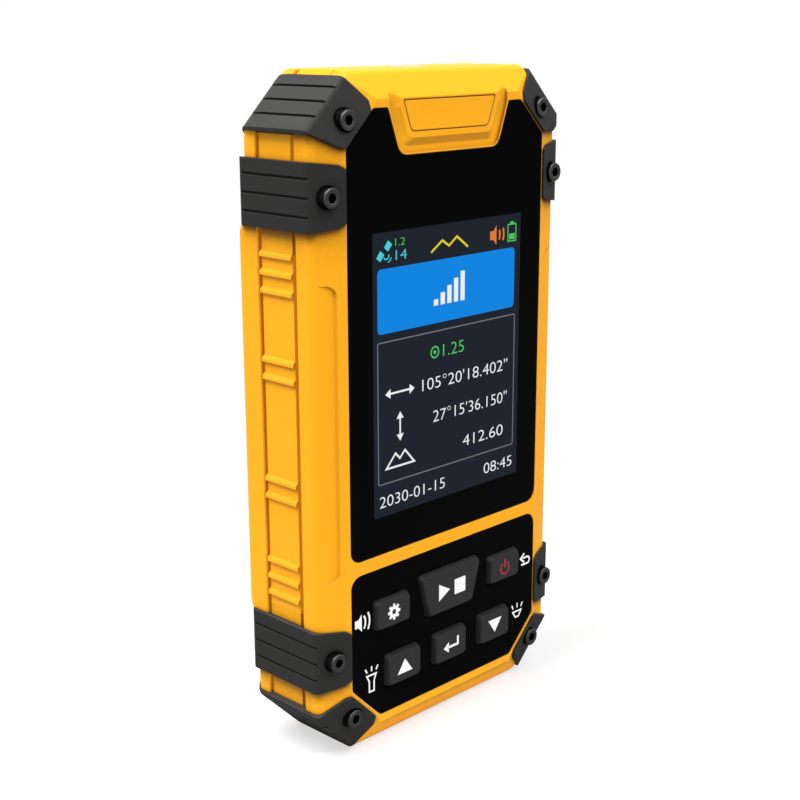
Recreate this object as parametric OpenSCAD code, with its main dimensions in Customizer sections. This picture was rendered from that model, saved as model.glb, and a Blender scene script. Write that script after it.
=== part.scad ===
// Handheld land area meter: a rugged moulded casing in three layers, with bolted corner and side guards,
// a bonded display lens, a six-key pad, and the boards, aerial, battery, speaker and torch that it needs.
// The front faces -Y, the top is +Z, and the origin is the middle of the foot that the meter stands on.
// Depths are measured from the front plane towards the back.

/* [Display lens] */
// Width of the lens and of the key panel
lens_w = 63; // [56:0.5:72]
// Height of the lens from its lower edge to the tips of its ears
lens_h = 98.2; // [94:0.2:112]
// Thickness of the lens
lens_t = 1.5; // [1:0.1:1.8]
// Leg of the cut across each upper corner of the lens
lens_cut = 7.9; // [5:0.1:8.5]
// Radius of the lower corners of the lens and the upper corners of the key panel
panel_r = 3; // [1:0.1:4]
// Radius of the blunted tips of both panels
tip_r = 0.8; // [0.4:0.1:1.5]
// Half width of the notch in the lens at its mouth
notch_top = 19.5; // [18:0.1:21]
// Half width of the notch at its floor
notch_floor = 15.9; // [15.2:0.1:17]
// Depth of the notch below the tips of the ears
notch_h = 10.2; // [9.4:0.1:11]
// Thickness of the tape under the lens
tape_t = 0.2; // [0.1:0.05:0.4]
// Width of the tape
tape_w = 2.4; // [1.5:0.1:3.5]
// Clearance round the lens and the key panel
panel_gap = 0.15; // [0.1:0.05:0.3]

/* [Display] */
// Width of the black border on each side of the screen
bezel_w = 7.2; // [6.6:0.1:9]
// Height of the black border above the screen
bezel_top = 25.9; // [23.5:0.1:30]
// Height of the black border under the screen
bezel_low = 8.7; // [7:0.1:11]
// Dead border of the display round the screen
display_border = 2.2; // [1.5:0.1:2.6]
// Thickness of the display
display_t = 2.4; // [2.2:0.1:3]
// Clearance round the display in its window
display_gap = 0.3; // [0.2:0.05:0.5]
// How far the metal tray stands past the display
tray_lip = 2; // [1.4:0.1:2.4]
// Thickness of the tray
tray_t = 0.8; // [0.5:0.1:1.2]
// Width of the flat ribbon cable
ribbon_w = 16; // [10:0.5:20]
// Thickness of the ribbon cable
ribbon_t = 0.3; // [0.2:0.05:0.5]
// Length of ribbon bonded at each end
ribbon_leg = 6; // [4:0.5:8]

/* [Key panel] */
// Height of the yellow strip between the lens and the key panel
strip_h = 3.5; // [2:0.1:6]
// Height of the key panel
keypad_h = 35.6; // [34:0.2:42]
// Thickness of the key panel
keypad_t = 1.2; // [0.8:0.1:1.4]
// Leg of the cut across each lower corner of the key panel
keypad_cut = 8.7; // [6:0.1:9.5]
// Blunting radius of those cuts
keypad_r = 1.5; // [0.5:0.1:2.5]

/* [Keys] */
// Width of a plain key
key_w = 11.2; // [9.5:0.1:12]
// Height of the two outer keys of the upper row
upper_key_h = 7.3; // [6:0.1:8]
// Height of the keys of the lower row
lower_key_h = 7.9; // [6:0.1:8.5]
// Distance of the outer upper keys from the middle
upper_key_x = 19.4; // [19:0.1:20.5]
// Distance of the outer lower keys from the middle
lower_key_x = 15.9; // [15:0.1:18]
// Height of the large middle key
main_key_h = 11; // [9:0.1:12]
// Half width of the large key along its top
main_key_top = 10.6; // [9:0.1:10.8]
// Half width of the large key along its foot
main_key_foot = 7.7; // [6.5:0.1:8.5]
// Distance between the two rows of keys
row_pitch = 14.5; // [13.8:0.1:15.5]
// How far the rows sit below the middle of the panel
row_drop = 0.3; // [0:0.1:1]
// How far a key stands out of the panel
key_rise = 1.2; // [0.8:0.1:2]
// Corner radius of a key
key_r = 1.1; // [0.5:0.1:1.6]
// How far the sides of a key lean in towards its top
key_lean = 0.5; // [0.2:0.1:0.9]
// Clearance round a key in the panel
key_gap = 0.25; // [0.2:0.05:0.4]
// How far a key goes in when pressed
key_travel = 0.6; // [0.3:0.1:0.8]
// How far the flange stands out round the foot of a key
flange_w = 0.8; // [0.5:0.1:0.9]
// Thickness of the flange
flange_t = 0.6; // [0.4:0.1:0.8]
// Running clearance behind the panel and at the end of the travel
run_gap = 0.3; // [0.2:0.05:0.4]
// Clearance round a flange in its well
well_gap = 0.4; // [0.3:0.05:0.5]
// Thickness of the silicone mat under the keys
mat_t = 0.6; // [0.4:0.1:1]
// Radius of a dome on the mat
dome_r = 2.2; // [1.5:0.1:2.6]
// Thickness of the key board
key_board_t = 1; // [0.8:0.1:1.6]
// Margin of the mat and key board round the keys
mat_margin = 2; // [1.5:0.1:2.6]
// Thread length of the key board's screws
key_screw_l = 3.2; // [2.6:0.1:3.4]

/* [Casing] */
// Flat margin between the panels and the side slopes
side_margin = 0.4; // [0.3:0.1:2]
// Width of the slope along each side
side_slope_w = 7.6; // [7:0.1:10]
// Angle of the side and corner slopes to the front
slope_a = 19.5; // [15:0.5:24]
// Flat margin between the panels and the end slopes
end_margin = 2; // [1.5:0.1:4]
// Width of the slope along the top and the foot
end_slope_w = 5.8; // [4.5:0.1:7]
// Angle of the end slopes to the front
end_slope_a = 34; // [30:1:42]
// Flat margin between the panel tips and the corner slopes
corner_margin = 0.5; // [0.3:0.1:1]
// Width of the slope across each corner
corner_slope_w = 7.9; // [7:0.1:9]
// Radius where the slopes turn into the sides
edge_r = 2.5; // [1.5:0.1:3]
// Depth of the casing at its ends
body_d = 26.4; // [26:0.1:32]
// How far the battery hump stands out of the back
hump_d = 2.4; // [1.8:0.1:5]
// How far each end of the hump leans in over its height
hump_lean = 3; // [2:0.1:5]
// Distance between the side guards and the hump
hump_gap = 2.5; // [1.5:0.1:6]
// Wall of the casing's sides
wall = 2.4; // [2.2:0.1:2.8]
// Thickness of the front wall
front_wall = 3.6; // [3.5:0.1:4.2]
// Thickness of the back wall
back_wall = 2.2; // [1.8:0.1:2.6]
// Thickness of the rear layer behind its slopes
slope_wall = 1.6; // [1.2:0.1:1.8]
// Depth of the front layer of the casing
front_d = 7.3; // [7:0.1:8]
// Depth of the rear layer at the ends of the casing
rear_d = 7; // [6.6:0.1:8]
// Thickness of the seals between the layers
seal_t = 0.4; // [0.3:0.05:0.6]
// How far the seals stay inside the seams
seal_inset = 0.1; // [0.05:0.05:0.3]
// How far the middle layer stays inside the other two
mid_inset = 0.6; // [0.3:0.1:0.7]
// Broken edge along the seams
seam_edge = 0.3; // [0.1:0.05:0.5]
// Width of the groove along the front seam
seam_w = 0.8; // [0.5:0.1:1]
// Depth of that groove
seam_d = 0.6; // [0.3:0.05:0.65]

/* [Casing details] */
// Depth of the channel round the tab in the notch
channel_d = 0.6; // [0.3:0.1:1.3]
// Width of the lip that stays between the lens and the channel
channel_lip = 0.4; // [0.2:0.05:0.6]
// Width of the channel
channel_w = 3.7; // [3.4:0.1:4.4]
// How much of that width is flat, before it leans up to the tab
channel_flat = 2; // [1.2:0.1:2.4]
// Radius of the tab's lower corners
tab_r = 2.2; // [1.5:0.1:3]
// Distance of the engraved line from the edge of the tab
line_inset = 1.2; // [0.8:0.1:1.6]
// Distance of that line from the end slope
line_top = 0.4; // [0.2:0.1:1.2]
// Radius of the line's lower corners
line_r = 1.6; // [1:0.1:2.4]
// Width of the engraved line
line_w = 0.25; // [0.15:0.05:0.4]
// Depth of the engraved line
line_d = 0.2; // [0.1:0.05:0.4]
// Half length of the grip scoop on each side slope
scoop_half = 33; // [28:0.5:36]
// Distance of the scoop from the inner edge of the slope
scoop_in = 2; // [1.6:0.1:3]
// Distance from there to the deepest line of the scoop
scoop_lead = 0.3; // [0.2:0.1:0.8]
// Depth of the scoop along that line
scoop_d = 0.6; // [0.3:0.05:0.8]
// Distance from the casing's side to where the scoop runs out
scoop_out = 1.4; // [1:0.1:2.4]
// Corner radius of the scoop
scoop_r = 2.6; // [2:0.1:4]
// Height of one rib on the side
rib_h = 1.4; // [1:0.1:2]
// Distance from one rib to the next
rib_pitch = 3.95; // [3.4:0.05:4.2]
// Distance from a side guard to the first rib
rib_lead = 5.6; // [4.5:0.1:6.5]
// Distance of the innermost ribs from mid height
rib_inner = 11.6; // [11.5:0.1:14]

/* [Guards] */
// Distance from each end of the casing to the middle of its side guards
guard_drop = 25.1; // [24:0.1:27]
// Height of a side guard
guard_h = 14.4; // [12.5:0.1:15]
// How far the guards stand out of the sides
guard_proud = 0.9; // [0.6:0.1:1.4]
// How far the guards stand out of the front and back
guard_lift = 0.6; // [0.4:0.1:1]
// Depth of the pockets that the guards sit in
pocket_d = 0.8; // [0.6:0.1:1]
// Radius along the outer edge of a guard
guard_r = 1.5; // [1:0.1:2]
// Radius along the rear edge of a corner guard
guard_back_r = 5; // [3:0.1:6]
// Distance between two grip grooves
groove_pitch = 3.95; // [3:0.05:4.2]
// Width of a groove
groove_w = 0.6; // [0.3:0.05:0.9]
// Depth of a groove
groove_d = 0.5; // [0.3:0.05:0.6]
// Length of the flat end of a corner guard on the casing's side
guard_end = 0.8; // [0.5:0.1:1.5]
// The same for the guard at the upper right, which reaches further down
guard_long_end = 3.1; // [2.6:0.1:3.4]
// Width of the blunted outer corner at that end
guard_heel_w = 1.9; // [1.4:0.1:2.4]
// Height of that blunted corner
guard_heel_h = 1.1; // [0.8:0.1:1.4]
// Distance from the middle of a cut corner to the upper end of its guard
guard_up = 6.05; // [5.5:0.05:7]
// How much a guard narrows on each side towards its inner edge
guard_taper = 1.6; // [1:0.1:2.4]
// Length of the blunted corners at the inner edge of a guard
guard_tip = 1.3; // [0.8:0.1:2]

/* [Guard screws] */
// Distance of the side guard screws from the side of the casing
side_screw_in = 3.4; // [3.2:0.1:3.8]
// Distance of the corner guard screws from the cut corner
corner_screw_in = 4.4; // [4:0.1:4.8]
// Distance of the corner screws from the middle of the cut, towards the side
corner_screw_shift = 1; // [0.6:0.1:1.4]
// Head diameter of a guard screw
head_d = 4.5; // [4:0.1:4.7]
// Head height
head_h = 2.5; // [2:0.1:2.6]
// How far the heads stand in front of the front plane
head_rise = 0.7; // [0.4:0.1:1]
// Thread diameter
thread_d = 2.5; // [2:0.1:2.7]
// Length under the head
thread_l = 10; // [9:0.5:11]
// Width of the hexagon socket across its flats
hex_w = 2; // [1.5:0.1:2.2]
// Depth of the hexagon socket
hex_d = 1.3; // [0.8:0.1:1.6]
// Height of the low heads at the back
button_h = 1.2; // [0.9:0.1:1.4]
// Radius of the flat on top of a low head
button_r = 1.5; // [1.3:0.1:1.8]
// Depth of the hexagon socket in a low head
button_hex_d = 0.7; // [0.4:0.1:0.8]
// Clearance round a head
head_gap = 0.25; // [0.15:0.05:0.35]
// Clearance round a thread in the guards and the casing
hole_gap = 0.1; // [0.05:0.05:0.2]
// Clearance of a thread in its insert
thread_gap = 0.03; // [0.02:0.01:0.06]
// Wall of a brass insert
insert_wall = 0.6; // [0.45:0.05:0.7]
// Length of a brass insert
insert_l = 4; // [3:0.1:4.6]
// Wall of the bosses round the inserts
boss_wall = 1.3; // [1:0.1:1.5]

/* [Main board] */
// Clearance between the main board and the bosses beside it
board_side_gap = 1.9; // [1:0.1:3]
// Distance of the board from the inside of the casing's ends
board_end_gap = 3; // [2:0.1:5]
// Thickness of the board
board_t = 1.6; // [1:0.1:2]
// Depth of the front of the board
board_depth = 9.5; // [9.3:0.1:10]
// Distance of the board's screws from the side guards' screws, towards mid height
board_screw_drop = 7.3; // [7:0.1:9]
// Distance of the board's screws from its side edges
board_screw_in = 2.4; // [2:0.1:3]
// Thread diameter of the small screws
small_thread_d = 1.8; // [1.4:0.1:2]
// Head diameter of the small screws
small_head_d = 3.4; // [3:0.1:3.8]
// Head height of the small screws
small_head_h = 1.2; // [0.8:0.1:1.4]
// Length of the cross recess in a small head
cross_l = 2; // [1.6:0.1:2.4]
// Width of that recess
cross_w = 0.5; // [0.3:0.05:0.7]
// Thread length of the small screws
small_thread_l = 4; // [3.6:0.1:4.4]
// Thickness of the lugs that carry the board
lug_t = 4; // [3.6:0.1:4.4]
// Height of a lug
lug_h = 7; // [5:0.1:8]
// Width of the shield over the receiver
shield_w = 28; // [20:0.5:34]
// Height of the shield
shield_h = 24; // [18:0.5:30]
// Thickness of the shield
shield_t = 2.4; // [1.5:0.1:2.8]
// Height of the shield's middle above mid height
shield_z = 16; // [12:0.5:20]
// Side of the square ceramic aerial
aerial_w = 25; // [18:0.5:26]
// Thickness of the aerial
aerial_t = 4; // [3:0.1:4.2]
// Distance of the aerial from the upper edge of the board
aerial_drop = 1.2; // [0.5:0.1:3]
// Side of the silver patch on the aerial
patch_w = 19; // [14:0.5:20]
// Thickness of the silver patch
patch_t = 0.1; // [0.05:0.05:0.2]

/* [Battery and speaker] */
// Clearance between the battery and each end of the hump's room
battery_end_gap = 0.7; // [0.4:0.1:2]
// Radius of the battery's edges
battery_r = 1.5; // [0.5:0.1:3]
// Height of the strap across the battery
strap_h = 14; // [10:0.5:20]
// Thickness of the strap
strap_t = 0.8; // [0.5:0.1:1.2]
// Clearance between the strap's screws and the charging socket
strap_gap = 0.3; // [0.2:0.1:0.6]
// Distance of the strap's ends from the charging port's block
strap_end_gap = 1.1; // [0.6:0.1:2]
// Distance of the strap's posts from the battery
post_gap = 1.6; // [0.8:0.1:2]
// Radius of a strap post
post_r = 2.9; // [2.2:0.1:3]
// Diameter of the speaker
speaker_d = 20; // [16:0.5:22]
// Thickness of the speaker
speaker_t = 4.6; // [3.5:0.1:5]
// Depth of the hollow in front of the speaker's cone
cone_d = 1.2; // [0.8:0.1:1.6]
// Distance of the speaker from the lower end of the hump's room
speaker_drop = 10; // [6:0.5:11]
// Diameter of one hole of the grille
grille_d = 1.8; // [1:0.1:2.2]
// Distance of the ring of grille holes from their middle
grille_ring = 4.4; // [3.4:0.1:6]
// Holes in that ring
grille_count = 6; // [4:1:8]

/* [Torch] */
// Diameter of the torch window
torch_d = 8; // [6:0.1:9]
// How far its flange stands out under the wall
torch_lip = 1; // [0.6:0.1:1.4]
// Thickness of that flange
torch_lip_t = 0.8; // [0.5:0.1:1]
// Clearance round the window
torch_gap = 0.1; // [0.05:0.05:0.2]
// Width of the lamp's block
lamp_w = 9; // [7:0.1:10]
// Thickness of the lamp's block
lamp_t = 5; // [4:0.1:5.6]
// Height of the lamp's block
lamp_h = 6; // [4:0.1:8]
// Radius of the lamp's dome
lamp_r = 1.8; // [1:0.1:2]

/* [Charging port] */
// Length of the port cover
cover_l = 16; // [14:0.1:17]
// Distance of the cover's hinge axis and free edge from the seams of the middle layer
cover_margin = 1.75; // [1.7:0.05:2.2]
// Thickness of the cover
cover_t = 1.8; // [1.4:0.1:2]
// Radius of the cover's hinge barrel
barrel_r = 1.1; // [1:0.05:1.2]
// Radius of the hinge pin
pin_r = 0.5; // [0.4:0.05:0.6]
// Running clearance of the barrel on the pin
pin_gap = 0.05; // [0.03:0.01:0.08]
// How far each end of the pin sits in the frame
pin_seat = 1.5; // [1:0.1:2]
// Clearance round the cover
cover_gap = 0.3; // [0.2:0.05:0.4]
// Length of the socket's mouth
socket_l = 9; // [8:0.1:9.6]
// Height of the socket
socket_h = 3.2; // [2.8:0.1:3.4]
// How far the socket reaches back over the board
socket_reach = 7; // [6:0.1:8]
// Wall of the socket's shell
socket_wall = 0.4; // [0.3:0.05:0.5]
// Clearance round the socket
socket_gap = 0.3; // [0.2:0.05:0.4]
// How far the cover's plug reaches into the port
plug_l = 0.9; // [0.5:0.1:1]
// Wall of the frame behind the cover's seat
seat_wall = 2.9; // [2.4:0.1:3]

/* [Hidden] */
$fn = 48;
arc_steps = 6;
cut_a = 45;
hex_sides = 6;
eps = 0.01;
pass = 4;

amber = "#ffb41c";
guard_grey = "#3c3c3c";
panel_black = "#0a0a0a";
key_grey = "#383838";
board_green = "#14532d";
steel = "#8f9499";

// Outline of the face, worked out from the panels
panel_half = (lens_h + strip_h + keypad_h) / 2;
half_w = lens_w / 2 + side_margin + side_slope_w;
half_h = panel_half + end_margin + end_slope_w;
tip_line = (lens_w / 2 + panel_half - lens_cut) / sqrt(2);
corner_u = tip_line + corner_margin + corner_slope_w;
mid_z = half_h;
reach = 2 * (half_w + half_h);

// Depths of the layers
mid_front = front_d + seal_t;
rear_seam = body_d - rear_d;
mid_back = rear_seam - seal_t;
mid_depth = (mid_front + mid_back) / 2;
rib_front = mid_front + seam_w + seam_edge;
full_d = body_d + hump_d;
front_y = (key_rise - full_d) / 2;
back_in = body_d - back_wall;
hump_in = full_d - back_wall;
board_back = board_depth + board_t;

// Inside of the casing
room_w = half_w - wall;
room_h = half_h - wall;
room_u = corner_u - wall;

// Panels and display, as heights above the foot
keypad_z = mid_z - panel_half;
lens_z = keypad_z + keypad_h + strip_h;
lens_top = lens_z + lens_h;
screen_w = lens_w - 2 * bezel_w;
screen_h = lens_h - bezel_top - bezel_low;
screen_z = lens_z + bezel_low;
window_w = screen_w + 2 * display_border;
window_h = screen_h + 2 * display_border;
window_z = screen_z + screen_h / 2;
tray_front = lens_t + display_t;
tray_back = tray_front + tray_t;

// Keys
row_z = keypad_z + keypad_h / 2 - row_drop;
upper_z = row_z + row_pitch / 2;
lower_z = row_z - row_pitch / 2;
flange_front = keypad_t + run_gap;
flange_back = flange_front + flange_t;
dome_top = flange_back + key_travel + run_gap;
mat_back = front_wall + mat_t;
key_board_back = mat_back + key_board_t;
mat_w = upper_key_x + key_w / 2 + mat_margin;
mat_low = lower_z - lower_key_h / 2 - mat_margin;
mat_high = upper_z + main_key_h / 2 + mat_margin;
key_screw_x = upper_key_x + key_w / 2 - small_thread_d / 2;

// Guards and their screws
guard_z = half_h - guard_drop;
hump_half = guard_z - guard_h / 2 - hump_gap;
guard_in = lens_w / 2 + side_margin;
side_screw_x = half_w - side_screw_in;
corner_screw_u = corner_u - corner_screw_in;
cut_mid_v = (half_w - half_h) / sqrt(2);
corner_screw_v = cut_mid_v + corner_screw_shift;
corner_screw = [corner_screw_u + corner_screw_v, corner_screw_u - corner_screw_v] / sqrt(2);
guard_screw_spots = [[side_screw_x, guard_z], corner_screw];
insert_r = thread_d / 2 + thread_gap + insert_wall;
boss_r = insert_r + boss_wall;
hole_r = thread_d / 2 + hole_gap;
head_hole_r = head_d / 2 + head_gap;
head_seat = head_h - head_rise;

// Board, battery, speaker and torch
board_half = room_h - board_end_gap;
board_w = 2 * (side_screw_x - boss_r - board_side_gap);
board_u = corner_screw_u - boss_r - board_side_gap;
board_screw_x = board_w / 2 - board_screw_in;
board_screw_z = guard_z - board_screw_drop;
aerial_z = board_half - aerial_drop - aerial_w / 2;
hump_room = hump_half - hump_lean - wall;
battery_front = board_back + socket_h + strap_gap + small_head_h + strap_t;
battery_h = 2 * (hump_room - battery_end_gap);
speaker_z = -hump_room - speaker_drop - speaker_d / 2;

// Charging port
panel_x = half_w - mid_inset;
axis_x = panel_x - barrel_r;
axis_depth = mid_back - cover_margin;
cover_free = mid_front + cover_margin;
cover_w = axis_depth - cover_free;
cover_in = axis_x - cover_t / 2;
seat_x = axis_x - barrel_r - cover_gap;
block_x = seat_x - seat_wall;
strap_half = block_x - strap_end_gap;
post_x = strap_half - post_r;
battery_w = 2 * (post_x - post_r - post_gap);
socket_mid = board_back + socket_h / 2;
socket_mouth = cover_in - plug_l - cover_gap;

// Points of the guards' outlines
clear_w = half_w + guard_proud + pass;
clear_u = corner_u + guard_proud + pass;
guard_in_u = tip_line + corner_margin;
guard_tip_z = guard_in_u * sqrt(2) - guard_in;
guard_foot_z = (corner_u + guard_proud) * sqrt(2) - half_w - guard_proud;
guard_top_v = cut_mid_v - guard_up;

// Ribs on the sides, in two groups above mid height and two below
rib_outer = guard_z - guard_h / 2 - rib_lead;
rib_above = concat([for (i = [0:2]) rib_outer - i * rib_pitch],
                   [for (i = [0:1]) rib_inner + i * rib_pitch]);
rib_heights = concat(rib_above, -rib_above);

// Tips of the small screws
key_screw_tip = key_board_back - key_screw_l;
board_screw_tip = board_depth + small_thread_l;
strap_screw_tip = battery_front - strap_t + small_thread_l;
lug_in = small_head_d;
body_h = 2 * half_h;

// Unit vector along v
function unit(v) = v / norm(v);

// Angle d brought between minus and plus half a turn
function half_turn(d) = d > 180 ? d - 360 : d < -180 ? d + 360 : d;

// Arc of radius r that rounds corner p between its neighbours a and b
function corner_arc(a, p, b, r) =
    let (u = unit(a - p),
         v = unit(b - p),
         half = acos(u * v) / 2,
         c = p + unit(u + v) * r / sin(half),
         s = p + u * r / tan(half) - c,
         e = p + v * r / tan(half) - c,
         start = atan2(s[1], s[0]),
         turn = half_turn(atan2(e[1], e[0]) - start))
    [for (i = [0:arc_steps])
        let (a = start + turn * i / arc_steps)
        c + r * [cos(a), sin(a)]];

// Outline with each corner rounded by its own radius
function rounded(points, radii) =
    let (n = len(points))
    [for (i = [0:n - 1])
        each corner_arc(points[(i + n - 1) % n], points[i], points[(i + 1) % n], radii[i])];

// Right half of an outline and its mirror image
function mirrored(points) =
    concat(points, [for (i = [len(points) - 1:-1:0]) [-points[i][0], points[i][1]]]);

// Edge of the casing in section, as inset from the side and depth: a slope, then an arc into the side
function nose(slope_w, angle, radius, start) =
    let (corner = start + slope_w * tan(angle),
         run = radius * tan((90 - angle) / 2))
    concat([[slope_w, start]],
           [for (i = [arc_steps:-1:0])
               let (t = (90 - angle) * i / arc_steps)
               [radius * (1 - cos(t)), corner + run - radius * sin(t)]]);

// The same edge for the back, seen from the depth d
function tail(points, d) = [for (i = [len(points) - 1:-1:0]) [points[i][0], d - points[i][1]]];

// Sections of the three layers for a given front edge
function front_section(edge) = concat(edge, [[0, front_d - seam_edge], [seam_edge, front_d]]);
function rear_section(edge, d) =
    concat([[seam_edge, rear_seam], [0, rear_seam + seam_edge]], tail(edge, d));
function mid_section(inset) =
    [[inset + seam_d, mid_front], [inset + seam_d, mid_front + seam_w], [inset, rib_front],
     [inset, mid_back - seam_edge], [inset + seam_edge, mid_back]];

// Section of the room in the rear layer, which leans in along a slope of the back
function room_section(slope_w, angle) =
    let (lean = max(eps, slope_w - wall + (slope_wall / cos(angle) - back_wall) / tan(angle)))
    [[0, rear_seam - eps], [0, back_in - lean * tan(angle)], [lean, back_in]];

side_edge = nose(side_slope_w, slope_a, edge_r, 0);
end_edge = nose(end_slope_w, end_slope_a, edge_r, 0);
corner_edge = nose(corner_slope_w, slope_a, edge_r, 0);
pocket_start = pocket_d / cos(slope_a);

// Depth of the side slope's face at distance x from the middle
function slope_depth(x) = (x - guard_in) * tan(slope_a);

// Eight-sided outline of half width w and half height h, with its corners cut at distance u
function eight_sided(w, h, u) =
    let (leg = w + h - u * sqrt(2))
    [[w, -h + leg], [w, h - leg], [w - leg, h], [-w + leg, h],
     [-w, h - leg], [-w, -h + leg], [-w + leg, -h], [w - leg, -h]];

// Outline of the lens, grown by g
function lens_outline(g) =
    let (cut = lens_cut + g * (2 - sqrt(2)),
         w = lens_w / 2 + g,
         top = lens_top + g)
    rounded(mirrored([[w, lens_z - g], [w, top - cut], [w - cut, top], [notch_top - g, top],
                      [notch_floor - g, lens_top - notch_h + g]]),
            mirrored_list([panel_r, tip_r, tip_r, tip_r, panel_r]));

// Outline of the key panel, grown by g
function keypad_outline(g) =
    let (cut = keypad_cut + g * (2 - sqrt(2)),
         w = lens_w / 2 + g,
         low = keypad_z - g)
    rounded(mirrored([[w, keypad_z + keypad_h + g], [w, low + cut], [w - cut, low]]),
            mirrored_list([panel_r, keypad_r, keypad_r]));

// A list followed by itself in reverse
function mirrored_list(values) = concat(values, [for (i = [len(values) - 1:-1:0]) values[i]]);

// Outline of a key, grown by g, whose top and foot have their own half widths
function key_outline(top, foot, h, g) =
    rounded([[top + g, h / 2 + g], [foot + g, -h / 2 - g], [-foot - g, -h / 2 - g], [-top - g, h / 2 + g]],
            [key_r, key_r, key_r, key_r]);

// Each key's middle, half widths and height
key_spots = [[[-upper_key_x, upper_z], key_w / 2, key_w / 2, upper_key_h],
             [[0, upper_z], main_key_top, main_key_foot, main_key_h],
             [[upper_key_x, upper_z], key_w / 2, key_w / 2, upper_key_h],
             [[-lower_key_x, lower_z], key_w / 2, key_w / 2, lower_key_h],
             [[0, lower_z], key_w / 2, key_w / 2, lower_key_h],
             [[lower_key_x, lower_z], key_w / 2, key_w / 2, lower_key_h]];

// How much the sides of the notch lean out over its height
notch_lean = (notch_top - notch_floor) / notch_h;

// Half width of the tab's foot for an outline grown by g, which is measured square to its sides
function tab_foot(g) = notch_floor + g * (norm([1, notch_lean]) - notch_lean);

// Outline of the tab in the notch, grown by g, running up past the end slope
function tab_outline(g) =
    let (low = lens_top - notch_h - g,
         high = mid_z + half_h,
         foot = tab_foot(g),
         mouth = foot + notch_lean * (lens_top - low),
         bend = max(panel_r + g, tab_r))
    rounded([[mouth, high], [mouth, lens_top], [foot, low],
             [-foot, low], [-mouth, lens_top], [-mouth, high]],
            [tip_r, tip_r, bend, bend, tip_r, tip_r]);

// Outline of the plate engraved on the tab, inset by g
function plate_outline(g) =
    let (inset = channel_w + line_inset + g,
         low = lens_top - notch_h + inset,
         high = mid_z + half_h - end_slope_w - line_top - g,
         foot = tab_foot(-inset),
         head = foot + notch_lean * (high - low),
         bend = line_r - g)
    rounded([[head, high], [foot, low], [-foot, low], [-head, high]],
            [tip_r / 2, bend, bend, tip_r / 2]);

// Front outline of a side guard on the right, about its own middle
side_guard_zone = [[guard_in, -guard_h / 2 + guard_taper],
                   [guard_in + guard_tip, -guard_h / 2 + guard_taper / 2],
                   [half_w, -guard_h / 2], [clear_w, -guard_h / 2], [clear_w, guard_h / 2],
                   [half_w, guard_h / 2], [guard_in + guard_tip, guard_h / 2 - guard_taper / 2],
                   [guard_in, guard_h / 2 - guard_taper]];

// Point at distance u across a cut corner and v along it
function corner_point(u, v) = [u + v, u - v] / sqrt(2);

// Length of the flat end of the corner guard in the quarter with these signs
function end_length(sx, sz) = sx > 0 && sz > 0 ? guard_long_end : guard_end;

// Front outline of a corner guard with the given flat end, as at the upper right, about mid height
function corner_guard_zone(end) =
    let (foot = guard_foot_z - end)
    [[guard_in, guard_tip_z], [guard_in + guard_tip, guard_tip_z],
     [half_w - guard_heel_w, foot - guard_heel_h], [half_w, foot], [clear_w, foot],
     corner_point(clear_u, guard_top_v),
     corner_point(guard_in_u + guard_taper, guard_top_v),
     corner_point(guard_in_u, guard_top_v + guard_tip)];

// Places an outline, given in x and height, between two depths
module slab(d0, d1) {
    translate([0, front_y + d1, 0])
        rotate([90, 0, 0])
            linear_extrude(d1 - d0)
                children();
}

// The same for an outline whose height is measured from mid height
module mid_slab(d0, d1) {
    translate([0, 0, mid_z])
        slab(d0, d1)
            children();
}

// Round bar of radius r between two depths
module rod(r, d0, d1) {
    slab(d0, d1)
        circle(r);
}

// Bar of one section, mirrored about the middle, that fills the outline from side to side
module section_bar(section, half) {
    translate([0, front_y, 0])
        linear_extrude(reach, center = true)
            polygon(mirrored([for (p = section) [half - p[0], p[1]]]));
}

// What two such bars share, each turned to one pair of corners, for corners cut at distance u
module corner_bars(section, u) {
    intersection() {
        rotate([0, cut_a, 0])
            section_bar(section, u);
        rotate([0, -cut_a, 0])
            section_bar(section, u);
    }
}

// One layer of the casing, from its sections at the sides, the ends and the corners, all moved in by inset
module layer(sides, ends, corners, inset = 0) {
    translate([0, 0, mid_z])
        intersection() {
            section_bar(sides, half_w - inset);
            rotate([0, 90, 0])
                section_bar(ends, half_h - inset);
            corner_bars(corners, corner_u - inset);
        }
}

// Casing-shaped block, grown by g at the sides, that starts and ends at e inside the front and back
module guard_form(g, e, front_r, back_r) {
    side = concat(nose(side_slope_w + g, slope_a, front_r, e),
                  tail(nose(side_slope_w + g, slope_a, back_r, e), body_d));
    corner = concat(nose(corner_slope_w + g, slope_a, front_r, e),
                    tail(nose(corner_slope_w + g, slope_a, back_r, e), body_d));
    translate([0, 0, mid_z])
        intersection() {
            section_bar(side, half_w + g);
            corner_bars(corner, corner_u + g);
        }
}

// The body that is left under the guards
module pocket_form() {
    guard_form(-pocket_d, pocket_start, edge_r, edge_r);
}

// Repeats a shape in all four quarters of the face
module quarters() {
    for (sx = [-1, 1], sz = [-1, 1])
        translate([0, 0, mid_z])
            scale_mirror(sx, sz)
                children();
}

// Mirrors a shape across the middle or across mid height, where the sign is negative
module scale_mirror(sx, sz) {
    mirror([sx < 0 ? 1 : 0, 0, 0])
        mirror([0, 0, sz < 0 ? 1 : 0])
            children();
}

// Outlines of both guards of the quarter with these signs, as pegs through the casing
module guard_pegs(sx, sz) {
    slab(-pass, body_d + pass)
        polygon(corner_guard_zone(end_length(sx, sz)));
    translate([0, 0, guard_z])
        slab(-pass, body_d + pass)
            polygon(side_guard_zone);
}

// Material taken off the casing so that the guards sit in pockets
module guard_pockets() {
    difference() {
        for (sx = [-1, 1], sz = [-1, 1])
            translate([0, 0, mid_z])
                scale_mirror(sx, sz)
                    guard_pegs(sx, sz);
        pocket_form();
    }
}

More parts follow.
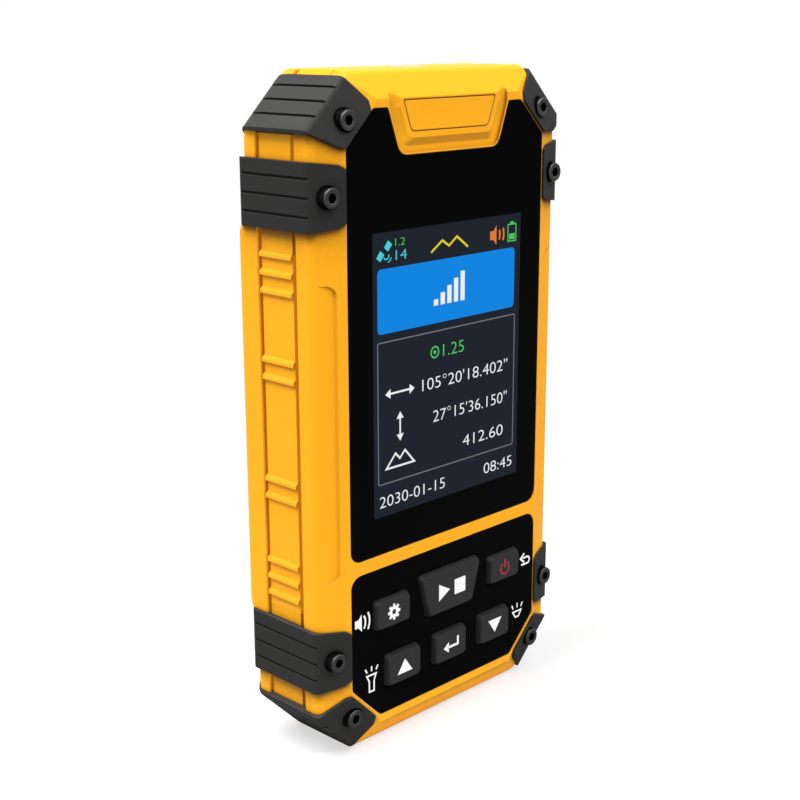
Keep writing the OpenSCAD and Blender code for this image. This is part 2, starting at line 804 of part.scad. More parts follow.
// Repeats a shape at each guard screw
module at_guard_screws() {
    quarters()
        for (spot = guard_screw_spots)
            translate([spot[0], 0, spot[1]])
                children();
}

// Holes for the threads and heads of the guard screws, front and back
module guard_screw_holes() {
    at_guard_screws() {
        rod(hole_r, -pass, head_seat + thread_l + hole_gap);
        rod(head_hole_r, -pass, head_seat);
        rod(hole_r, body_d - head_seat - thread_l - hole_gap, body_d + pass);
        rod(head_hole_r, body_d - head_seat, body_d + pass);
    }
}

// Bosses round the guard screws
module guard_bosses(d0, d1) {
    at_guard_screws()
        rod(boss_r, d0, d1);
}

// Room inside the casing between two depths
module room(d0, d1) {
    mid_slab(d0, d1)
        polygon(eight_sided(room_w, room_h, room_u));
}

// Outline of the display's window, grown by g
module display_frame(g) {
    square([window_w + 2 * (display_gap + g), window_h + 2 * (display_gap + g)], center = true);
}

// Repeats a shape at each key
module at_keys() {
    for (k = key_spots)
        translate([k[0][0], 0, k[0][1]])
            children();
}

// Wells for the flanges of the keys, through the front wall
module key_wells() {
    for (k = key_spots)
        translate([k[0][0], 0, k[0][1]])
            slab(keypad_t - eps, front_wall + eps)
                polygon(key_outline(k[1], k[2], k[3], flange_w + well_gap));
}

// Channel between the lens and the tab, with a lip and a flat beside the lens, and leaning up to the tab
module tab_channel() {
    difference() {
        slab(-eps, channel_d)
            polygon(tab_outline(-panel_gap - channel_lip));
        hull() {
            slab(-2 * eps, 0)
                polygon(tab_outline(-channel_w));
            slab(channel_d, channel_d + eps)
                polygon(tab_outline(-channel_flat));
        }
    }
}

// Thin line engraved round the plate on the tab
module tab_line() {
    slab(-eps, line_d)
        difference() {
            polygon(plate_outline(0));
            polygon(plate_outline(line_w));
        }
}

// Grip scoop in the slope of the right side: it drops from its inner edge, then runs out towards the side
module grip_scoop() {
    inner = guard_in + scoop_in;
    outer = half_w - scoop_out;
    intersection() {
        linear_extrude(body_h)
            translate([0, front_y])
                polygon([[inner, -pass], [inner, slope_depth(inner)],
                         [inner + scoop_lead, slope_depth(inner + scoop_lead) + scoop_d],
                         [outer, slope_depth(outer)], [outer, -pass]]);
        mid_slab(-pass, front_d)
            polygon(rounded([[inner, -scoop_half], [clear_w, -scoop_half],
                             [clear_w, scoop_half], [inner, scoop_half]],
                            [scoop_r, tip_r, tip_r, scoop_r]));
    }
}

module front_casing() {
    color(amber)
        difference() {
            layer(front_section(side_edge), front_section(end_edge), front_section(corner_edge));
            difference() {
                room(front_wall, front_d + eps);
                guard_bosses(0, front_d + pass);
            }
            slab(-eps, lens_t + tape_t)
                polygon(lens_outline(panel_gap));
            slab(-eps, keypad_t)
                polygon(keypad_outline(panel_gap));
            translate([0, 0, window_z])
                slab(0, front_wall + eps)
                    display_frame(0);
            key_wells();
            for (sx = [-1, 1])
                translate([sx * key_screw_x, 0, row_z])
                    rod(small_thread_d / 2 + thread_gap, key_screw_tip - hole_gap, front_wall + eps);
            tab_channel();
            tab_line();
            for (sx = [-1, 1])
                scale_mirror(sx, 1)
                    grip_scoop();
            guard_pockets();
            guard_screw_holes();
        }
}

// Raised rib on the right side, at height z from mid height
module side_rib(z) {
    translate([0, 0, mid_z + z])
        slab(rib_front, mid_back)
            polygon([[panel_x - mid_inset, -rib_h / 2], [half_w, -rib_h / 2],
                     [half_w, rib_h / 2 - mid_inset], [panel_x, rib_h / 2],
                     [panel_x - mid_inset, rib_h / 2]]);
}

// Lugs on the sides of the frame that carry the main board
module board_lugs() {
    quarters()
        translate([board_screw_x - lug_in, front_y + board_back, board_screw_z - lug_h / 2])
            cube([room_w + eps - board_screw_x + lug_in, lug_t, lug_h]);
}

// Thick stretch of the right side of the frame round the charging port
module port_block() {
    block_h = cover_l + 2 * (pin_seat + cover_gap + seam_edge);
    translate([block_x, front_y + mid_front, mid_z - block_h / 2])
        cube([room_w + eps - block_x, mid_back - mid_front, block_h]);
}

// Seat of the cover, way in to the socket and holes for the hinge pin
module port_cuts() {
    translate([seat_x, front_y + cover_free - cover_gap, mid_z - cover_l / 2 - cover_gap])
        cube([clear_w - seat_x, cover_w + barrel_r + 2 * cover_gap, cover_l + 2 * cover_gap]);
    translate([block_x - eps, front_y + board_back - socket_gap, mid_z - socket_l / 2 - socket_gap])
        cube([seat_x - block_x + 2 * eps, socket_h + 2 * socket_gap, socket_l + 2 * socket_gap]);
    translate([axis_x, front_y + axis_depth, mid_z])
        cylinder(r = pin_r + thread_gap, h = cover_l + 2 * (cover_gap + pin_seat), center = true);
}

module mid_frame() {
    color(amber)
        difference() {
            union() {
                layer(mid_section(mid_inset), mid_section(0), mid_section(mid_inset));
                for (sx = [-1, 1], z = rib_heights)
                    scale_mirror(sx, 1)
                        side_rib(z);
            }
            difference() {
                room(mid_front - eps, mid_back + eps);
                guard_bosses(0, body_d);
                board_lugs();
                port_block();
            }
            guard_pockets();
            guard_screw_holes();
            at_guard_screws() {
                rod(insert_r, mid_front - eps, mid_front + insert_l);
                rod(insert_r, mid_back - insert_l, mid_back + eps);
            }
            quarters()
                translate([board_screw_x, 0, board_screw_z])
                    rod(small_thread_d / 2 + thread_gap, board_depth, board_screw_tip + hole_gap);
            port_cuts();
            translate([0, front_y + mid_depth, mid_z + room_h - eps])
                cylinder(d = torch_d + 2 * torch_gap, h = wall + pass);
        }
}

// Battery hump: the casing's own sides and corners at the full depth, between two sloping ends
module hump() {
    lean = hump_lean / hump_d;
    intersection() {
        layer(rear_section(side_edge, full_d), rear_section(end_edge, full_d),
              rear_section(corner_edge, full_d));
        translate([-half_w, front_y, mid_z])
            rotate([90, 0, 90])
                linear_extrude(2 * half_w)
                    polygon([[rear_seam, hump_half + lean * rear_d], [full_d, hump_half - hump_lean],
                             [full_d, -hump_half + hump_lean], [rear_seam, -hump_half - lean * rear_d]]);
    }
}

// Posts for the battery strap
module strap_posts() {
    for (sx = [-1, 1])
        translate([sx * post_x, 0, mid_z])
            rod(post_r, battery_front, full_d);
}

// Holes that let the speaker be heard
module speaker_grille() {
    translate([0, 0, mid_z + speaker_z]) {
        rod(grille_d / 2, back_in - eps, body_d + pass);
        for (i = [0:grille_count - 1])
            rotate([0, i * 360 / grille_count, 0])
                translate([grille_ring, 0, 0])
                    rod(grille_d / 2, back_in - eps, body_d + pass);
    }
}

module rear_casing() {
    color(amber)
        difference() {
            union() {
                layer(rear_section(side_edge, body_d), rear_section(end_edge, body_d),
                      rear_section(corner_edge, body_d));
                hump();
            }
            difference() {
                union() {
                    layer(room_section(side_slope_w, slope_a), room_section(end_slope_w, end_slope_a),
                          room_section(corner_slope_w, slope_a), wall);
                    mid_slab(back_in - eps, hump_in)
                        square([2 * guard_in, 2 * hump_room], center = true);
                }
                guard_bosses(0, body_d);
                strap_posts();
            }
            for (sx = [-1, 1])
                translate([sx * post_x, 0, mid_z])
                    rod(small_thread_d / 2 + thread_gap, battery_front - eps, strap_screw_tip + hole_gap);
            speaker_grille();
            guard_pockets();
            guard_screw_holes();
        }
}

// Flat ring between two layers of the casing, for a seam of the given depth
module seal(d0, d1, seam) {
    end_in = seam + seal_inset;
    side_in = max(mid_inset + end_in, pocket_d + seal_inset);
    color("#202020")
        difference() {
            mid_slab(d0, d1)
                difference() {
                    polygon(eight_sided(half_w - side_in, half_h - end_in, corner_u - side_in));
                    polygon(eight_sided(room_w, room_h, room_u));
                }
            at_guard_screws()
                rod(insert_r, d0 - eps, d1 + eps);
        }
}

module front_seal() {
    seal(front_d, mid_front, seam_d);
}

module rear_seal() {
    seal(mid_back, rear_seam, seam_edge);
}

module screen_lens() {
    color(panel_black)
        slab(0, lens_t)
            polygon(lens_outline(0));
}

module lens_tape() {
    color("#303030")
        translate([0, 0, window_z])
            slab(lens_t, lens_t + tape_t)
                difference() {
                    display_frame(tape_w);
                    display_frame(0);
                }
}

module display_panel() {
    color("#20252d")
        translate([0, 0, window_z])
            slab(lens_t, tray_front)
                square([window_w, window_h], center = true);
}

module display_foam() {
    color("#444444")
        translate([0, 0, window_z])
            slab(front_wall, tray_front)
                difference() {
                    display_frame(tray_lip);
                    display_frame(0);
                }
}

module display_tray() {
    color(steel)
        translate([0, 0, window_z])
            slab(tray_front, tray_back)
                display_frame(tray_lip);
}

module display_ribbon() {
    color("#b5651d")
        translate([-ribbon_w / 2, front_y, window_z - window_h / 2])
            rotate([90, 0, 90])
                linear_extrude(ribbon_w)
                    polygon([[tray_back, ribbon_leg], [tray_back, 0], [board_depth - ribbon_t, 0],
                             [board_depth - ribbon_t, -ribbon_leg], [board_depth, -ribbon_leg],
                             [board_depth, ribbon_t], [tray_back + ribbon_t, ribbon_t],
                             [tray_back + ribbon_t, ribbon_leg]]);
}

module keypad_plate() {
    color(panel_black)
        difference() {
            slab(0, keypad_t)
                polygon(keypad_outline(0));
            for (k = key_spots)
                translate([k[0][0], 0, k[0][1]])
                    slab(-eps, keypad_t + eps)
                        polygon(key_outline(k[1], k[2], k[3], key_gap));
        }
}

// One key: a leaning cap that stands out of the panel, a shank through it and a flange behind it
module key(k) {
    color(key_grey)
        translate([k[0][0], 0, k[0][1]]) {
            hull() {
                slab(-key_rise, -key_rise + eps)
                    polygon(key_outline(k[1], k[2], k[3], -key_lean));
                slab(-eps, 0)
                    polygon(key_outline(k[1], k[2], k[3], 0));
            }
            slab(-eps, flange_back)
                polygon(key_outline(k[1], k[2], k[3], 0));
            slab(flange_front, flange_back)
                polygon(key_outline(k[1], k[2], k[3], flange_w));
        }
}

module key_settings() {
    key(key_spots[0]);
}

module key_start_stop() {
    key(key_spots[1]);
}

module key_power() {
    key(key_spots[2]);
}

module key_up() {
    key(key_spots[3]);
}

module key_enter() {
    key(key_spots[4]);
}

module key_down() {
    key(key_spots[5]);
}

// Outline of the mat and the key board, with holes for their screws
module mat_outline() {
    difference() {
        translate([-mat_w, mat_low])
            square([2 * mat_w, mat_high - mat_low]);
        for (sx = [-1, 1])
            translate([sx * key_screw_x, row_z])
                circle(small_thread_d / 2 + hole_gap);
    }
}

module key_mat() {
    color("#5a5a5a") {
        slab(front_wall, mat_back)
            mat_outline();
        at_keys()
            rod(dome_r, dome_top, front_wall + eps);
    }
}

module key_board() {
    color(board_green)
        slab(mat_back, key_board_back)
            mat_outline();
}

// Small screw with its head on depth d, whose thread runs to the front (way -1) or to the back (way 1)
module small_screw(d, way, thread_l) {
    color(steel)
        difference() {
            union() {
                rod(small_head_d / 2, min(d, d - way * small_head_h), max(d, d - way * small_head_h));
                rod(small_thread_d / 2, min(d, d + way * thread_l), max(d, d + way * thread_l));
            }
            slab(min(d - way * small_head_h / 2, d - way * (small_head_h + eps)),
                 max(d - way * small_head_h / 2, d - way * (small_head_h + eps)))
                cross_slot();
        }
}

// Cross recess of a small screw
module cross_slot() {
    for (a = [0, 90])
        rotate(a)
            square([cross_l, cross_w], center = true);
}

module key_board_screws() {
    for (sx = [-1, 1])
        translate([sx * key_screw_x, 0, row_z])
            small_screw(key_board_back, -1, key_screw_l);
}

module main_board() {
    color(board_green)
        difference() {
            mid_slab(board_depth, board_back)
                polygon(eight_sided(board_w / 2, board_half, board_u));
            quarters()
                translate([board_screw_x, 0, board_screw_z])
                    rod(small_thread_d / 2 + hole_gap, board_depth - eps, board_back + eps);
        }
}

module board_screws() {
    quarters()
        translate([board_screw_x, 0, board_screw_z])
            small_screw(board_depth, 1, small_thread_l);
}

module receiver_shield() {
    color("silver")
        translate([0, 0, mid_z + shield_z])
            slab(board_depth - shield_t, board_depth)
                square([shield_w, shield_h], center = true);
}

module aerial_patch() {
    color("#d8cfb4")
        translate([0, 0, mid_z + aerial_z]) {
            slab(board_depth - aerial_t, board_depth)
                square(aerial_w, center = true);
            slab(board_depth - aerial_t - patch_t, board_depth - aerial_t + eps)
                square(patch_w, center = true);
        }
}

module battery() {
    color("#2f6fb0")
        mid_slab(battery_front, hump_in)
            polygon(rounded([[battery_w, battery_h] / 2, [-battery_w, battery_h] / 2,
                             [-battery_w, -battery_h] / 2, [battery_w, -battery_h] / 2],
                            [battery_r, battery_r, battery_r, battery_r]));
}

module battery_strap() {
    color(steel)
        mid_slab(battery_front - strap_t, battery_front)
            difference() {
                square([2 * strap_half, strap_h], center = true);
                for (sx = [-1, 1])
                    translate([sx * post_x, 0])
                        circle(small_thread_d / 2 + hole_gap);
            }
}

module strap_screws() {
    for (sx = [-1, 1])
        translate([sx * post_x, 0, mid_z])
            small_screw(battery_front - strap_t, 1, small_thread_l);
}

module speaker() {
    color("#1c1c1c")
        translate([0, 0, mid_z + speaker_z])
            difference() {
                rod(speaker_d / 2, back_in - speaker_t, back_in);
                rod(grille_ring + grille_d, back_in - cone_d, back_in + eps);
            }
}

module torch_lamp() {
    color("#f2f2e8") {
        translate([-lamp_w / 2, front_y + board_back, mid_z + board_half - lamp_h])
            cube([lamp_w, lamp_t, lamp_h]);
        translate([0, front_y + mid_depth, mid_z + board_half])
            sphere(lamp_r);
    }
}

module torch_window() {
    color("#dfe8ee") {
        translate([0, front_y + mid_depth, mid_z + room_h - torch_lip_t])
            cylinder(d = torch_d + 2 * torch_lip, h = torch_lip_t);
        translate([0, front_y + mid_depth, mid_z + room_h - eps])
            cylinder(d = torch_d, h = wall + eps);
    }
}

module charge_socket() {
    color(steel)
        translate([socket_mouth - socket_reach, front_y + board_back, mid_z - socket_l / 2])
            difference() {
                cube([socket_reach, socket_h, socket_l]);
                translate([socket_wall * 2, socket_wall, socket_wall])
                    cube([socket_reach, socket_h - 2 * socket_wall, socket_l - 2 * socket_wall]);
            }
}

module port_cover() {
    plug_w = socket_h - socket_gap;
    plug_h = socket_l - 2 * socket_gap;
    color("#2b2b2b")
        difference() {
            union() {
                translate([cover_in, front_y + cover_free, mid_z - cover_l / 2])
                    cube([cover_t, cover_w, cover_l]);
                translate([axis_x, front_y + axis_depth, mid_z])
                    cylinder(r = barrel_r, h = cover_l, center = true);
                translate([cover_in - plug_l, front_y + socket_mid - plug_w / 2, mid_z - plug_h / 2])
                    cube([plug_l + eps, plug_w, plug_h]);
            }
            translate([axis_x, front_y + axis_depth, mid_z])
                cylinder(r = pin_r + pin_gap, h = cover_l + eps, center = true);
        }
}

module cover_pin() {
    color(steel)
        translate([axis_x, front_y + axis_depth, mid_z])
            cylinder(r = pin_r, h = cover_l + 2 * (cover_gap + pin_seat), center = true);
}

// Outlines of three grip grooves in a guard over a face at distance w, about height z
module grooves(w, z) {
    for (i = [-1:1])
        translate([w + guard_proud - groove_d, z + i * groove_pitch - groove_w / 2])
            square([pass, groove_w]);
}

// Corner guard of one quarter, with its grip grooves and screw holes
module corner_guard(sx, sz) {
    color(guard_grey)
        difference() {
            intersection() {
                translate([0, 0, mid_z])
                    scale_mirror(sx, sz)
                        slab(-pass, body_d + pass)
                            polygon(corner_guard_zone(end_length(sx, sz)));
                guard_form(guard_proud, -guard_lift, guard_r, guard_back_r);
            }
            pocket_form();
            guard_screw_holes();
            translate([0, 0, mid_z])
                scale_mirror(sx, sz)
                    slab(-pass, body_d + pass)
                        rotate(cut_a)
                            grooves(corner_u, -corner_screw_v);
        }
}

// Side guard of one quarter, with its grip grooves and screw holes
module side_guard(sx, sz) {
    color(guard_grey)
        difference() {
            intersection() {
                translate([0, 0, mid_z])
                    scale_mirror(sx, sz)
                        translate([0, 0, guard_z])
                            slab(-pass, body_d + pass)
                                polygon(side_guard_zone);
                guard_form(guard_proud, -guard_lift, guard_r, guard_r);
            }
            pocket_form();
            guard_screw_holes();
            translate([0, 0, mid_z])
                scale_mirror(sx, sz)
                    slab(-pass, body_d + pass)
                        grooves(half_w, guard_z);
        }
}

module guard_top_left() {
    corner_guard(-1, 1);
}

module guard_top_right() {
    corner_guard(1, 1);
}

module guard_upper_left() {
    side_guard(-1, 1);
}

module guard_upper_right() {
    side_guard(1, 1);
}

module guard_lower_left() {
    side_guard(-1, -1);
}

module guard_lower_right() {
    side_guard(1, -1);
}

module guard_foot_left() {
    corner_guard(-1, -1);
}

module guard_foot_right() {
    corner_guard(1, -1);
}

// Guard screw with its head to the front: the head's height, its top's radius and its socket's depth
module socket_screw(height, top_r, socket_d) {
    top = head_seat - height;
    difference() {
        union() {
            translate([0, front_y + head_seat, 0])
                rotate([90, 0, 0])
                    cylinder(r1 = head_d / 2, r2 = top_r, h = height);
            rod(thread_d / 2, head_seat - eps, head_seat + thread_l);
        }
        slab(top - eps, top + socket_d)
            circle(d = hex_w / cos(180 / hex_sides), $fn = hex_sides);
    }
}

module guard_screws() {
    color("#4a4c4f")
        at_guard_screws() {
            socket_screw(head_h, head_d / 2, hex_d);
            translate([0, 2 * front_y + body_d, 0])
                mirror([0, 1, 0])
                    socket_screw(button_h, button_r, button_hex_d);
        }
}

module thread_inserts() {
    color("#b58d3c")
        at_guard_screws()
            for (d = [mid_front, mid_back - insert_l])
                difference() {
                    rod(insert_r, d, d + insert_l);
                    rod(thread_d / 2 + thread_gap, d - eps, d + insert_l + eps);
                }
}

front_casing();
mid_frame();
rear_casing();
front_seal();
rear_seal();
screen_lens();
lens_tape();
display_panel();
display_foam();
display_tray();
display_ribbon();
keypad_plate();
key_settings();
key_start_stop();
key_power();
key_up();
key_enter();
key_down();
key_mat();
key_board();
key_board_screws();
main_board();
board_screws();
receiver_shield();
aerial_patch();
battery();
battery_strap();
strap_screws();
speaker();
torch_lamp();
torch_window();
charge_socket();
port_cover();
cover_pin();
guard_top_left();
guard_top_right();
guard_upper_left();
guard_upper_right();
guard_lower_left();
guard_lower_right();
guard_foot_left();
guard_foot_right();
guard_screws();
thread_inserts();
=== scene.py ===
"""Looks of the land area meter.

Finishes, printed marks, the lit screen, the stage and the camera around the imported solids.
"""

import math

import bmesh
import bpy
from mathutils import Matrix, Vector


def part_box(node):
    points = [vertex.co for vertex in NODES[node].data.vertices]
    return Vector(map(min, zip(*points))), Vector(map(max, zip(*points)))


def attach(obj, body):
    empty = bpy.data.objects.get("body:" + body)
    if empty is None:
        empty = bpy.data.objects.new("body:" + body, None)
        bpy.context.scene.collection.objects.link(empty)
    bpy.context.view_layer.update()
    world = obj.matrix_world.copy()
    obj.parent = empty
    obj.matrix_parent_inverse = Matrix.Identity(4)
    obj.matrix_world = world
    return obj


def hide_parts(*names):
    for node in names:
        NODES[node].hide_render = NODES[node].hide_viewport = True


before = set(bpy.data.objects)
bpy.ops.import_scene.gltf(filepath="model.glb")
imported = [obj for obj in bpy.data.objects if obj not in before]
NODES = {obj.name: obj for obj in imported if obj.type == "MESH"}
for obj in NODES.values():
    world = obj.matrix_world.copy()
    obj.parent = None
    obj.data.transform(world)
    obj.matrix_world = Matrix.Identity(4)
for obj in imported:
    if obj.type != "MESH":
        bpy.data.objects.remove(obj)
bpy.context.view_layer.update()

bl_info = {
    "name": "Land area meter",
    "version": (1, 0, 0),
    "blender": (4, 5, 0),
    "location": "3D View > Sidebar > Meter",
    "description": "Dresses the packed land area meter and sets its studio",
    "category": "Object",
}

MM = 0.001
ROOT = "casing"
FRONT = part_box("screen_lens")[0].y
KEY_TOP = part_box("key_up")[0].y
KEY_BODIES = ("key_settings", "key_start_stop", "key_power", "key_up", "key_enter", "key_down")
FAR = 1.0                   # metres, beyond the meter on any side
INK = 0.02 * MM             # thickness of a printed or lit mark
LEGEND_SINK = 0.03 * MM     # how far a key's face is lowered, so that its sign stays inside the key
WELD = 0.002 * MM           # corners of a solid that are closer than this are one corner
MARK_WELD = 0.0005 * MM     # the same for a printed mark
SHELTER_DIM = 0.95          # how dark the painted shade gets right below something that stands out
SPARED = 0.7                # how much of that painted shade a spared box takes away again
LEAN_DIM = 0.34             # how much darker the painted shade makes the faces that lean down in a dimmed box


def middle(node):
    """Middle of a solid seen from the front, as x and z in millimetres."""
    low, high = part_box(node)
    return (low.x + high.x) / 2 / MM, (low.z + high.z) / 2 / MM


class FinishSettings(bpy.types.PropertyGroup):
    """Colours of the meter's outside."""

    casing: bpy.props.FloatVectorProperty(
        name="Casing", description="Amber yellow of the moulded casing",
        subtype="COLOR", size=3, default=(1.0, 0.42, 0.008), min=0, max=1)
    guard: bpy.props.FloatVectorProperty(
        name="Guards", description="Dark grey of the corner and side guards",
        subtype="COLOR", size=3, default=(0.0218, 0.0218, 0.0213), min=0, max=1)
    panel: bpy.props.FloatVectorProperty(
        name="Panels", description="Black of the lens and the key panel",
        subtype="COLOR", size=3, default=(0.0019, 0.0019, 0.002), min=0, max=1)
    key: bpy.props.FloatVectorProperty(
        name="Keys", description="Dark grey of the keys",
        subtype="COLOR", size=3, default=(0.02, 0.02, 0.02), min=0, max=1)
    screw: bpy.props.FloatVectorProperty(
        name="Guard screws", description="Blackened steel of the cap screws",
        subtype="COLOR", size=3, default=(0.075, 0.075, 0.078), min=0, max=1)
    legend: bpy.props.FloatVectorProperty(
        name="Legends", description="White ink on the keys and the key panel",
        subtype="COLOR", size=3, default=(0.9, 0.9, 0.9), min=0, max=1)
    power: bpy.props.FloatVectorProperty(
        name="Power mark", description="Red ink on the power key",
        subtype="COLOR", size=3, default=(0.34, 0.008, 0.009), min=0, max=1)


class EdgeSettings(bpy.types.PropertyGroup):
    """Widths of the softened edges."""

    casing: bpy.props.FloatProperty(
        name="Casing edges", description="Width of the softened edges of the casing",
        unit="LENGTH", default=0.25 * MM, min=0)
    guard: bpy.props.FloatProperty(
        name="Guard edges", description="Width of the softened edges of the guards",
        unit="LENGTH", default=0.35 * MM, min=0)
    key: bpy.props.FloatProperty(
        name="Key edges", description="Width of the softened edges of the keys",
        unit="LENGTH", default=0.4 * MM, min=0)
    panel: bpy.props.FloatProperty(
        name="Panel edges", description="Width of the softened edges of the lens and the key panel",
        unit="LENGTH", default=0.12 * MM, min=0)


class ScreenSettings(bpy.types.PropertyGroup):
    """Colours of the lit screen."""

    back: bpy.props.FloatVectorProperty(
        name="Background", description="Dark blue-grey behind the figures",
        subtype="COLOR", size=3, default=(0.0125, 0.0165, 0.0245), min=0, max=1)
    banner: bpy.props.FloatVectorProperty(
        name="Banner", description="Blue of the signal banner",
        subtype="COLOR", size=3, default=(0.004, 0.23, 0.75), min=0, max=1)
    line: bpy.props.FloatVectorProperty(
        name="Frame", description="Grey of the line round the figures",
        subtype="COLOR", size=3, default=(0.17, 0.17, 0.18), min=0, max=1)


class StageSettings(bpy.types.PropertyGroup):
    """Studio light and the camera's place."""

    floor: bpy.props.FloatVectorProperty(
        name="Floor", description="Pale colour of the floor",
        subtype="COLOR", size=3, default=(0.9, 0.9, 0.9), min=0, max=1)
    bounce: bpy.props.FloatProperty(
        name="Bounce", description="How much of the light the floor sends back up",
        subtype="FACTOR", default=0.42, min=0, max=1)
    key_light: bpy.props.FloatProperty(
        name="Front light", description="Power of the large lamp in front", default=12.2, min=0)
    fill_light: bpy.props.FloatProperty(
        name="Side light", description="Power of the large lamp high on the left",
        default=17.0, min=0)
    sky: bpy.props.FloatProperty(
        name="Sky", description="Strength of the even light from all round", default=0.6, min=0)
    azimuth: bpy.props.FloatProperty(
        name="Azimuth", description="Camera's turn from straight in front, to the right",
        subtype="ANGLE", default=math.radians(-45.438))
    elevation: bpy.props.FloatProperty(
        name="Elevation", description="Camera's height as an angle",
        subtype="ANGLE", default=math.radians(14.832))
    roll: bpy.props.FloatProperty(
        name="Roll", description="Camera's tilt about its own axis",
        subtype="ANGLE", default=math.radians(-0.176))
    distance: bpy.props.FloatProperty(
        name="Distance", description="From the camera to its target",
        unit="LENGTH", default=314.642 * MM, min=0)
    target: bpy.props.FloatVectorProperty(
        name="Target", description="Point that the camera looks at",
        subtype="TRANSLATION", size=3, default=(-16.11 * MM, FRONT, 81.58 * MM))
    lens: bpy.props.FloatProperty(
        name="Lens", description="Focal length on a 36 mm sensor",
        unit="CAMERA", default=64.02, min=1)


class Wire:
    """An output of a node that can be used in Python arithmetic, which adds Math nodes."""

    def __init__(self, finish, socket):
        self.finish = finish
        self.socket = socket

    def math(self, operation, other, swapped=False):
        """A Math node of this value and another one, or of the other one and this."""
        pair = (other, self) if swapped else (self, other)
        return self.finish.add("ShaderNodeMath", {"operation": operation}, dict(enumerate(pair)))

    def __add__(self, other):
        return self.math("ADD", other)

    __radd__ = __add__

    def __mul__(self, other):
        return self.math("MULTIPLY", other)

    __rmul__ = __mul__

    def __sub__(self, other):
        return self.math("SUBTRACT", other)

    def __rsub__(self, other):
        return self.math("SUBTRACT", other, swapped=True)

    def __truediv__(self, other):
        return self.math("DIVIDE", other)

    def __rtruediv__(self, other):
        return self.math("DIVIDE", other, swapped=True)

    def __pow__(self, other):
        return self.math("POWER", other)

    def __rpow__(self, other):
        return self.math("POWER", other, swapped=True)

    def clamped(self):
        """This value, kept between 0 and 1."""
        return self.math("MAXIMUM", 0.0).math("MINIMUM", 1.0)


def opaque(colour):
    """A colour as a socket takes it, or the wire that brings one."""
    return colour if isinstance(colour, Wire) else (*colour, 1.0)


def scaled(colour, factor):
    """A colour made lighter or darker."""
    return tuple(min(1.0, c * factor) for c in colour)


